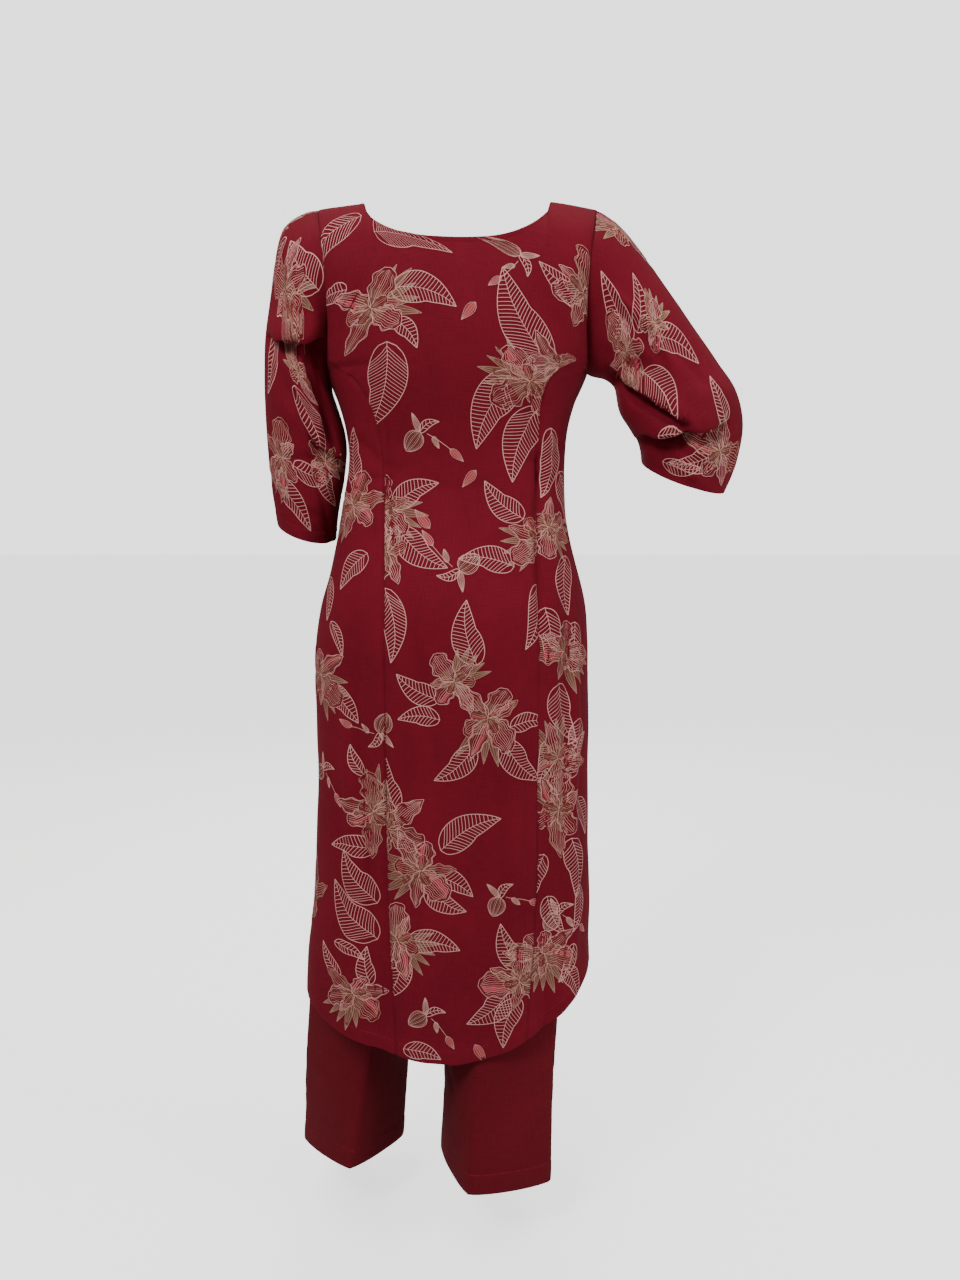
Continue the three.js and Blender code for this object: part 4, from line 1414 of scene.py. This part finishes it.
# The back halves of the sleeves, a from their middle, b down from the armhole seam.
SLEEVE_MOTIFS = {
    "left": table(
        MOTIF_COLUMNS,
        (8, -8, 204, 84, "leaf"),
        (-84, -40, -104, 60, "leaf_slim"),
        (-50, -126, -88, 74, "leaf_slim"),
        (6, -150, -62, 84, "leaf"),
        (-6, -262, 6, 62, "leaf_mirrored"),
        (-36, -288, -38, 72, "leaf"),
        (36, -240, -70, 62, "leaf_mirrored"),
        (-30, -62, 12, 48, "flower"),
        (16, -124, 60, 30, "flower"),
        (-26, -262, 40, 38, "flower"),
        (46, -232, 80, 32, "flower"),
    ),
    "right": table(
        MOTIF_COLUMNS,
        (-30, -78, 62, 78, "leaf"),
        (-12, -80, 26, 58, "leaf_mirrored"),
        (4, -102, -52, 70, "leaf"),
        (-36, -122, -74, 84, "leaf"),
        (46, -240, 94, 60, "leaf_slim"),
        (-46, -212, -16, 36, "leaf_slim"),
        (28, -270, 204, 66, "leaf"),
        (-44, -292, -6, 50, "leaf_mirrored"),
        (88, -30, 10, 34, "flower"),
        (-40, -76, 30, 40, "flower"),
        (14, -94, 70, 24, "flower"),
        (28, -274, 50, 36, "flower"),
    ),
}

# Clusters that fill the front and the sleeves' front halves, turned and mirrored from row to row.
GROUP_COLUMNS = "a b turn kind"
FRONT_GROUPS = table(
    GROUP_COLUMNS,
    (-92, -180, 20, "bouquet"),
    (96, -214, 200, "bouquet"),
    (2, -250, 0, "sprout_pair"),
    (-98, -390, 100, "bouquet"),
    (104, -432, 300, "bouquet"),
    (4, -500, 40, "sprout_pair"),
    (-36, -640, 330, "bouquet"),
    (120, -672, 70, "bouquet"),
    (-148, -600, 150, "bouquet"),
    (46, -830, 160, "bouquet"),
    (-110, -852, 240, "bouquet"),
    (148, -880, 20, "bouquet"),
    (-24, -1010, 20, "bouquet"),
    (100, -1030, 120, "bouquet"),
    (-132, -1040, 80, "bouquet"),
    (30, -940, 190, "sprout_pair"),
    (-60, -740, 210, "sprout_pair"),
)
SLEEVE_GROUPS = {
    "left": table(
        GROUP_COLUMNS,
        (-150, -60, 90, "bouquet"),
        (-190, -200, 300, "bouquet"),
        (-150, -372, 170, "bouquet"),
        (-262, -300, 60, "bouquet"),
        (-270, -110, 10, "sprout_pair"),
        (92, -340, 330, "sprout_pair"),
    ),
    "right": table(
        GROUP_COLUMNS,
        (150, -90, 330, "bouquet"),
        (180, -230, 90, "bouquet"),
        (130, -340, 210, "bouquet"),
        (250, -300, 10, "bouquet"),
        (250, -150, 160, "sprout_pair"),
    ),
}


MOTIF_KINDS = {
    "leaf": (leaf, 1),
    "leaf_mirrored": (leaf, -1),
    "leaf_slim": (slim_leaf, 1),
    "sprout": (sprout, 1),
    "bud": (bud, 1),
}


def motif(kind, size, seed):
    """A drawing of its kind, and 1 or -1 for mirrored; the seed tells one flower from the next."""
    if kind == "flower":
        return flower(size, seed), 1
    draw, mirror = MOTIF_KINDS[kind]
    return draw(size), mirror


def motif_sheet(rows):
    """Single motifs laid out by a table."""
    art = Drawing()
    for seed, row in enumerate(rows):
        shape, mirror = motif(row["kind"], row["size"], seed)
        art.add(shape, row["a"], row["b"], row["turn"], mirror)
    return art


def bouquet(seed):
    """A flower or two with leaves round them, differing from one to the next."""
    art = Drawing()
    swing = 26 * math.sin(seed * 2.3)
    art.add(leaf(92 + 20 * math.sin(seed * 1.9)), 12, 6, 14 + swing)
    art.add(leaf(84 + 18 * math.sin(seed * 2.7)), -4, -14, -76 - swing, -1)
    if seed % 3:
        art.add(leaf(72), -18, 6, 150 + 12 * math.sin(seed * 2))
    art.add(flower(42, seed), 0, 0, 24 * seed)
    if seed % 2:
        art.add(flower(34, seed + 3), 22, -46, 11 * seed)
    return art


def sprout_pair(seed):
    """A sprout with a bud beside it."""
    art = Drawing()
    art.add(sprout(28), 0, 0, 10 * seed)
    art.add(bud(28), -26, 22, 120)
    return art


def group_sheet(rows):
    """Bouquets and sprouts laid out by a table."""
    art = Drawing()
    for seed, row in enumerate(rows):
        group = bouquet(seed) if row["kind"] == "bouquet" else sprout_pair(seed)
        art.add(group, row["a"], row["b"], row["turn"], 1 if seed % 2 else -1)
    return art


class FlatMap:
    """Finds the place on a shaped sheet for a place on its flat pattern."""

    def __init__(self, cloth):
        self.cloth = cloth
        spots, faces = [], []
        rows = len(cloth.along)
        for column in cloth.flat:
            spots += [Vector((a, b, 0)) for a, b in column]
        for i in range(len(cloth.across) - 1):
            for j in range(rows - 1):
                k = i * rows + j
                for corners in ((k, k + rows, k + rows + 1), (k, k + rows + 1, k + 1)):
                    faces.append(corners)
        self.spots, self.faces, self.rows = spots, faces, rows
        self.tree = BVHTree.FromPolygons(spots, faces)

    def place(self, a, b, lift):
        """The lifted point on the cloth, and how far a, b lies off the pattern."""
        spot, _, index, distance = self.tree.find_nearest(Vector((a, b, 0)))
        corners = self.faces[index]
        grid = [divmod(k, self.rows) for k in corners]
        flat = [self.spots[k] for k in corners]
        shaped = [self.cloth.points[i][j] + self.cloth.normals[i][j] * lift for i, j in grid]
        return geometry.barycentric_transform(spot, *flat, *shaped), distance


OFF_PATTERN = 0.02
RIBBON_STEP = 4.5


def resample(points, step):
    """The polyline with no segment longer than step."""
    out = [points[0]]
    for (a0, b0), (a1, b1) in zip(points, points[1:]):
        count = max(1, math.ceil(math.hypot(a1 - a0, b1 - b0) / step))
        out += [(mix(a0, a1, k / count), mix(b0, b1, k / count)) for k in range(1, count + 1)]
    return out


def ribbon(bm, flat_map, points, width, lift):
    """A strip of ink or thread along a polyline, cut where it leaves the pattern."""
    points = resample(points, RIBBON_STEP)
    last = None
    for k, (a, b) in enumerate(points):
        before, after = points[max(0, k - 1)], points[min(len(points) - 1, k + 1)]
        da, db = after[0] - before[0], after[1] - before[1]
        size = math.hypot(da, db) or 1
        na, nb = -db / size * width / 2, da / size * width / 2
        _, off = flat_map.place(a, b, lift)
        if off > OFF_PATTERN:
            last = None
            continue
        pair = [bm.verts.new(flat_map.place(a + s * na, b + s * nb, lift)[0] * MM) for s in (1, -1)]
        if last:
            bm.faces.new((last[0], last[1], pair[1], pair[0]))
        last = pair


def filled_band(bm, flat_map, side, other, lift):
    """A filled strip between two polylines of equal count, its faces outwards."""
    middle = len(side) // 2
    run = (side[-1][0] - side[0][0], side[-1][1] - side[0][1])
    over = (other[middle][0] - side[middle][0], other[middle][1] - side[middle][1])
    if run[0] * over[1] > run[1] * over[0]:
        side, other = other, side
    steps = max(1, math.ceil(max(math.dist(p, q) for p, q in zip(side, other)) / RIBBON_STEP))
    last = None
    for p, q in zip(side, other):
        row = []
        for k in range(steps + 1):
            spot, off = flat_map.place(mix(p[0], q[0], k / steps), mix(p[1], q[1], k / steps), lift)
            row.append(bm.verts.new(spot * MM) if off <= OFF_PATTERN else None)
        if last:
            for k in range(steps):
                corners = (last[k], last[k + 1], row[k + 1], row[k])
                if all(corners):
                    bm.faces.new(corners)
        last = row


PRINT_LIFT = {"ground": 0.34, "rust": 0.39, "pink": 0.40, "olive": 0.46, "beige": 0.48, "rose": 0.50}
LEVEL_LIFT = 0.2


def print_cloth(cloth, flat_map, art):
    """One mesh for each ink on a sheet."""
    pieces = []
    for ink, lift in PRINT_LIFT.items():
        bm = bmesh.new()
        for name, side, other, level in art.bands:
            if name == ink:
                filled_band(bm, flat_map, side, other, lift + level * LEVEL_LIFT)
        for name, width, points, level in art.lines:
            if name == ink:
                ribbon(bm, flat_map, points, width, lift + level * LEVEL_LIFT)
        if not bm.faces:
            bm.free()
            continue
        for face in bm.faces:
            face.smooth = True
        pieces.append(object_from(bm, f"{cloth.name}_print_{ink}", finish(ink)))
    return pieces


# ---------- finishes ----------
def new_material(name):
    """A material with its nodes, links and main shader."""
    material = bpy.data.materials.new(name)
    material.use_nodes = True
    nodes = material.node_tree.nodes
    return material, nodes, material.node_tree.links, nodes["Principled BSDF"]


def math_node(nodes, links, operation, first, second):
    """Output of a sum or product of two sockets or numbers."""
    node = nodes.new("ShaderNodeMath")
    node.operation = operation
    for socket, value in zip(node.inputs, (first, second)):
        if isinstance(value, (int, float)):
            socket.default_value = value
        else:
            links.new(value, socket)
    return node.outputs[0]


def thread_noise(nodes, links, scale, detail):
    """Noise on the flat pattern, stretched by a scale across and along."""
    uv = nodes.new("ShaderNodeUVMap")
    mapping = nodes.new("ShaderNodeMapping")
    mapping.inputs["Scale"].default_value = (*scale, 1)
    threads = nodes.new("ShaderNodeTexNoise")
    threads.inputs["Scale"].default_value = 1.0
    threads.inputs["Detail"].default_value = detail
    links.new(uv.outputs[0], mapping.inputs["Vector"])
    links.new(mapping.outputs[0], threads.inputs["Vector"])
    return threads.outputs["Fac"]


# Across and along scales of the threads and of the slow change of colour, and its share.
WARP = (1500, 50)
WEFT = (45, 1300)
PATCHES = (9, 7)
PATCH_SHARE = 0.25
THREAD_COLOUR = (0.16, 0.014, 0.020)


def cloth_material(name, dark, light):
    """Woven cloth with slubs both ways, its colour varying slightly from thread to thread."""
    material, nodes, links, shader = new_material(name)
    warp = thread_noise(nodes, links, WARP, 3)
    weft = thread_noise(nodes, links, WEFT, 3)
    patches = thread_noise(nodes, links, PATCHES, 2)
    threads = math_node(nodes, links, "ADD", warp, weft)
    woven = math_node(nodes, links, "MULTIPLY", threads, 0.5 * (1 - PATCH_SHARE))
    slow = math_node(nodes, links, "MULTIPLY", patches, PATCH_SHARE)
    shade = math_node(nodes, links, "ADD", woven, slow)
    ramp = nodes.new("ShaderNodeValToRGB")
    ramp.color_ramp.elements[0].position = 0.34
    ramp.color_ramp.elements[0].color = (*dark, 1)
    ramp.color_ramp.elements[1].position = 0.66
    ramp.color_ramp.elements[1].color = (*light, 1)
    links.new(shade, ramp.inputs[0])
    links.new(ramp.outputs[0], shader.inputs["Base Color"])
    shader.inputs["Roughness"].default_value = 0.82
    shader.inputs["Specular IOR Level"].default_value = 0.07
    shader.inputs["Sheen Weight"].default_value = 0.01
    shader.inputs["Sheen Roughness"].default_value = 0.5
    shader.inputs["Sheen Tint"].default_value = (1.0, 0.72, 0.70, 1)
    bump = nodes.new("ShaderNodeBump")
    bump.inputs["Strength"].default_value = 0.22
    bump.inputs["Distance"].default_value = 0.0006
    links.new(threads, bump.inputs["Height"])
    links.new(bump.outputs[0], shader.inputs["Normal"])
    return material


INK_GRAIN = 1400
INK_SMOOTHEST = 0.3


def ink_material(name, colour):
    """Ink or thread on woven cloth, its gloss and surface uneven from thread to thread."""
    material, nodes, links, shader = new_material(name)
    place = nodes.new("ShaderNodeTexCoord")
    grain = nodes.new("ShaderNodeTexNoise")
    grain.inputs["Scale"].default_value = INK_GRAIN
    grain.inputs["Detail"].default_value = 2
    links.new(place.outputs["Object"], grain.inputs["Vector"])
    rough = math_node(nodes, links, "ADD", grain.outputs["Fac"], INK_SMOOTHEST)
    links.new(rough, shader.inputs["Roughness"])
    bump = nodes.new("ShaderNodeBump")
    bump.inputs["Strength"].default_value = 0.2
    bump.inputs["Distance"].default_value = 0.0005
    links.new(grain.outputs["Fac"], bump.inputs["Height"])
    links.new(bump.outputs[0], shader.inputs["Normal"])
    shader.inputs["Base Color"].default_value = (*colour, 1)
    shader.inputs["Specular IOR Level"].default_value = 0.15
    return material


def floor_material():
    """Pale floor that looks as bright as the backdrop and sends little light up."""
    material, nodes, links, shader = new_material("floor")
    shader.inputs["Base Color"].default_value = (*FLOOR_COLOUR, 1)
    shader.inputs["Roughness"].default_value = 0.9
    shader.inputs["Emission Color"].default_value = (*ROOM_COLOUR, 1)
    seen = nodes.new("ShaderNodeLightPath")
    glow = math_node(nodes, links, "MULTIPLY", seen.outputs["Is Camera Ray"], FLOOR_GLOW)
    links.new(glow, shader.inputs["Emission Strength"])
    return material


# ---------- settings ----------
class SuitSettings(bpy.types.PropertyGroup):
    thickness: FloatProperty(name="Cloth", description="Thickness of the cloth",
                             default=0.0009, unit="LENGTH", min=0.0003)
    kurta_dark: FloatVectorProperty(name="Kurta, dark thread", description="Deepest colour of the kurta",
                                    default=(0.082, 0.0026, 0.0078), size=3, subtype="COLOR")
    kurta_light: FloatVectorProperty(name="Kurta, light thread", description="Lightest colour of the kurta",
                                     default=(0.140, 0.0050, 0.0138), size=3, subtype="COLOR")
    trouser_dark: FloatVectorProperty(name="Trousers, dark thread", description="Deepest trouser colour",
                                      default=(0.066, 0.0030, 0.0062), size=3, subtype="COLOR")
    trouser_light: FloatVectorProperty(name="Trousers, light thread", description="Lightest trouser colour",
                                       default=(0.116, 0.0056, 0.0112), size=3, subtype="COLOR")
    ink_rose: FloatVectorProperty(name="Line ink", description="Rose cream of the drawn lines",
                                  default=(0.52, 0.245, 0.225), size=3, subtype="COLOR")
    ink_beige: FloatVectorProperty(name="Beige ink", description="Beige of the hatching",
                                   default=(0.33, 0.175, 0.125), size=3, subtype="COLOR")
    ink_olive: FloatVectorProperty(name="Olive ink", description="Grey olive of the hatching",
                                   default=(0.125, 0.078, 0.052), size=3, subtype="COLOR")
    ink_pink: FloatVectorProperty(name="Pink ink", description="Crimson pink of the filled strips",
                                  default=(0.30, 0.030, 0.048), size=3, subtype="COLOR")
    ink_rust: FloatVectorProperty(name="Rust ink", description="Brown red behind the closest hatching",
                                  default=(0.115, 0.030, 0.022), size=3, subtype="COLOR")
    key_power: FloatProperty(name="Key light", description="Power of the large soft lamp",
                             default=92.0, unit="POWER", min=0)
    fill_power: FloatProperty(name="Fill light", description="Power of the lamp across from it",
                              default=40.0, unit="POWER", min=0)
    overhead_strength: FloatProperty(name="Overhead light", description="Strength of the light from above",
                                     default=2.6, min=0)
    world_strength: FloatProperty(name="Room light", description="Strength of the even light of the room",
                                  default=0.23, min=0)
    backdrop_strength: FloatProperty(name="Backdrop", description="Brightness of the plain backdrop",
                                     default=2.45, min=0)


def settings():
    return bpy.context.scene.suit


def finish(name):
    """A finish of the suit, made once."""
    made = bpy.data.materials.get(name)
    if made:
        return made
    sizes = settings()
    if name == "kurta_cloth":
        return cloth_material(name, sizes.kurta_dark, sizes.kurta_light)
    if name == "trouser_cloth":
        return cloth_material(name, sizes.trouser_dark, sizes.trouser_light)
    if name == "ground":
        return finish("kurta_cloth")
    if name == "thread":
        return ink_material(name, THREAD_COLOUR)
    return ink_material(name, getattr(sizes, "ink_" + name))


STITCH = 3.2
STITCH_GAP = 1.3
STITCH_WIDTH = 0.6
STITCH_LIFT = 0.32


def stitch_line(cloth, flat_map, inset):
    """Even stitches along the sheet's bottom edge, a distance up from it."""
    bm = bmesh.new()
    points = [(a, b + inset) for a, b in (column[0] for column in cloth.flat)]
    start = 0.0
    for (a0, b0), (a1, b1) in zip(points, points[1:]):
        length = math.hypot(a1 - a0, b1 - b0)
        at = start
        while at < length:
            f, g = at / length, min(1, (at + STITCH) / length)
            stitch = [(mix(a0, a1, f), mix(b0, b1, f)), (mix(a0, a1, g), mix(b0, b1, g))]
            ribbon(bm, flat_map, stitch, STITCH_WIDTH, STITCH_LIFT)
            at += STITCH + STITCH_GAP
        start = at - length
    return object_from(bm, f"{cloth.name}_stitches", finish("thread"))


def sew(cloth, material, hem=0, art=None):
    """Build a shaped sheet in place of its solid, with its print and hem stitches, and work out the size of
    its flat pattern.
    """
    flat_map = FlatMap(cloth)
    pieces = print_cloth(cloth, flat_map, art) if art else []
    if hem:
        pieces.append(stitch_line(cloth, flat_map, hem))
    piece = make_cloth_mesh(cloth, settings().thickness, finish(material))
    for part in (*pieces, piece):
        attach(part, "root")
    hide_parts(cloth.name)
    width, length, area = cloth.flat_size()
    min(area, width * length)


# ---------- operators ----------
class SUIT_OT_back(bpy.types.Operator):
    """Three back pieces with their print and hem stitches"""

    bl_idname = "suit.back"
    bl_label = "Kurta back"

    def execute(self, context):
        panel = back_center()
        shape_cloth(panel, BACK_CREASES, bottom=KURTA_HEM, top=NECK_TURN, swing=BACK_SWING)
        sew(panel, "kurta_cloth", KURTA_HEM, motif_sheet(BACK_MOTIFS))
        for side, edges in (("left", ("slit", "sewn")), ("right", ("sewn", "slit"))):
            panel = back_side(side)
            shape_cloth(panel, BACK_CREASES, *edges, bottom=KURTA_HEM, set_in=True, swing=BACK_SWING)
            sew(panel, "kurta_cloth", KURTA_HEM, motif_sheet(SIDE_MOTIFS[side]))
        return {"FINISHED"}


class SUIT_OT_front(bpy.types.Operator):
    """The front piece with its print and hem stitches"""

    bl_idname = "suit.front"
    bl_label = "Kurta front"

    def execute(self, context):
        panel = front()
        shape_cloth(panel, FRONT_CREASES, "slit", "slit", bottom=KURTA_HEM, top=NECK_TURN)
        sew(panel, "kurta_cloth", KURTA_HEM, group_sheet(FRONT_GROUPS))
        return {"FINISHED"}


class SUIT_OT_sleeves(bpy.types.Operator):
    """Both sleeves with their print and hem stitches"""

    bl_idname = "suit.sleeves"
    bl_label = "Sleeves"

    def execute(self, context):
        for side in ("left", "right"):
            panel = sleeve(side)
            shape_cloth(panel, SLEEVE_CREASES[side], "none", "none", bottom=CUFF_TURN, set_in=True)
            art = group_sheet(SLEEVE_GROUPS[side]).add(motif_sheet(SLEEVE_MOTIFS[side]))
            sew(panel, "kurta_cloth", CUFF_TURN, art)
        return {"FINISHED"}


class SUIT_OT_trousers(bpy.types.Operator):
    """Four trouser pieces and the waistband"""

    bl_idname = "suit.trousers"
    bl_label = "Trousers"

    def execute(self, context):
        for face in ("back", "front"):
            for side in ("left", "right"):
                panel = trouser_panel(face, side)
                shape_cloth(panel, TROUSER_CREASES, bottom=TROUSER_TURN)
                sew(panel, "trouser_cloth", TROUSER_TURN)
        sew(waistband(), "trouser_cloth")
        return {"FINISHED"}


CAMERA_PLACE = (-0.030, 1.340, -0.446)
CAMERA_TILT = 84
CAMERA_LENS = 27
CAMERA_SENSOR = 36
FLOOR = -1.43
ROOM_COLOUR = (0.90, 0.895, 0.89)
FLOOR_SIZE = 60
FLOOR_COLOUR = (0.50, 0.495, 0.49)
FLOOR_GLOW = 1.62
OVERHEAD_SOFTNESS = 50

# Each lamp's power is a share of one of the settings.
LAMPS = table(
    "name place aim size power share",
    ("key", (1.2, 1.9, 1.5), (0, 0, -0.4), 1.1, "key_power", 1.0),
    ("fill", (-2.3, 1.0, 0.2), (0, 0, -0.6), 1.0, "fill_power", 1.0),
    ("front fill", (0.4, -2.4, 0.7), (0, 0, -0.6), 1.6, "fill_power", 1.1),
)


def add_lamps():
    """The soft lamps round the suit and the wide light from above."""
    objects = bpy.context.scene.collection.objects
    for row in LAMPS:
        light = bpy.data.lights.new(row["name"], "AREA")
        light.shape = "DISK"
        light.size = row["size"]
        light.energy = getattr(settings(), row["power"]) * row["share"]
        lamp = bpy.data.objects.new(row["name"], light)
        lamp.location = row["place"]
        aim = Vector(row["aim"]) - Vector(row["place"])
        lamp.rotation_euler = aim.to_track_quat("-Z", "Y").to_euler()
        objects.link(lamp)
    overhead = bpy.data.lights.new("overhead", "SUN")
    overhead.energy = settings().overhead_strength
    overhead.angle = math.radians(OVERHEAD_SOFTNESS)
    objects.link(bpy.data.objects.new("overhead", overhead))


def room():
    """A world that lights evenly and looks like a plain pale backdrop."""
    world = bpy.data.worlds.new("room")
    world.use_nodes = True
    nodes, links = world.node_tree.nodes, world.node_tree.links
    even = nodes["Background"]
    even.inputs["Color"].default_value = (*ROOM_COLOUR, 1)
    even.inputs["Strength"].default_value = settings().world_strength
    backdrop = nodes.new("ShaderNodeBackground")
    backdrop.inputs["Color"].default_value = (*ROOM_COLOUR, 1)
    backdrop.inputs["Strength"].default_value = settings().backdrop_strength
    seen = nodes.new("ShaderNodeLightPath")
    blend = nodes.new("ShaderNodeMixShader")
    links.new(seen.outputs["Is Camera Ray"], blend.inputs[0])
    links.new(even.outputs[0], blend.inputs[1])
    links.new(backdrop.outputs[0], blend.inputs[2])
    links.new(blend.outputs[0], nodes["World Output"].inputs["Surface"])
    return world


class SUIT_OT_stage(bpy.types.Operator):
    """Plain floor, soft light and the camera behind the suit"""

    bl_idname = "suit.stage"
    bl_label = "Stage"

    def execute(self, context):
        scene = context.scene
        bm = bmesh.new()
        bmesh.ops.create_grid(bm, x_segments=1, y_segments=1, size=FLOOR_SIZE)
        bmesh.ops.translate(bm, verts=bm.verts, vec=(0, 0, FLOOR))
        object_from(bm, "floor", floor_material())
        scene.world = room()
        add_lamps()

        camera = bpy.data.cameras.new("camera")
        camera.sensor_width = CAMERA_SENSOR
        camera.lens = CAMERA_LENS
        view = bpy.data.objects.new("camera", camera)
        view.location = CAMERA_PLACE
        view.rotation_euler = Euler((math.radians(CAMERA_TILT), 0, math.radians(180)))
        scene.collection.objects.link(view)
        scene.camera = view
        return {"FINISHED"}


class SUIT_PT_panel(bpy.types.Panel):
    """Buttons for each part of the suit"""

    bl_label = "Salwar suit"
    bl_idname = "SUIT_PT_panel"
    bl_space_type = "VIEW_3D"
    bl_region_type = "UI"
    bl_category = "Suit"

    def draw(self, context):
        layout = self.layout
        for name in SuitSettings.__annotations__:
            layout.prop(context.scene.suit, name)
        for operator in OPERATORS:
            layout.operator(operator.bl_idname)


OPERATORS = (SUIT_OT_back, SUIT_OT_front, SUIT_OT_sleeves, SUIT_OT_trousers, SUIT_OT_stage)
CLASSES = (SuitSettings, *OPERATORS, SUIT_PT_panel)


def register():
    for item in CLASSES:
        bpy.utils.register_class(item)
    bpy.types.Scene.suit = PointerProperty(type=SuitSettings)


def unregister():
    del bpy.types.Scene.suit
    for item in reversed(CLASSES):
        bpy.utils.unregister_class(item)


def main():
    register()
    bpy.ops.suit.back()
    bpy.ops.suit.front()
    bpy.ops.suit.sleeves()
    bpy.ops.suit.trousers()
    bpy.ops.suit.stage()


if __name__ == "__main__":
    main()
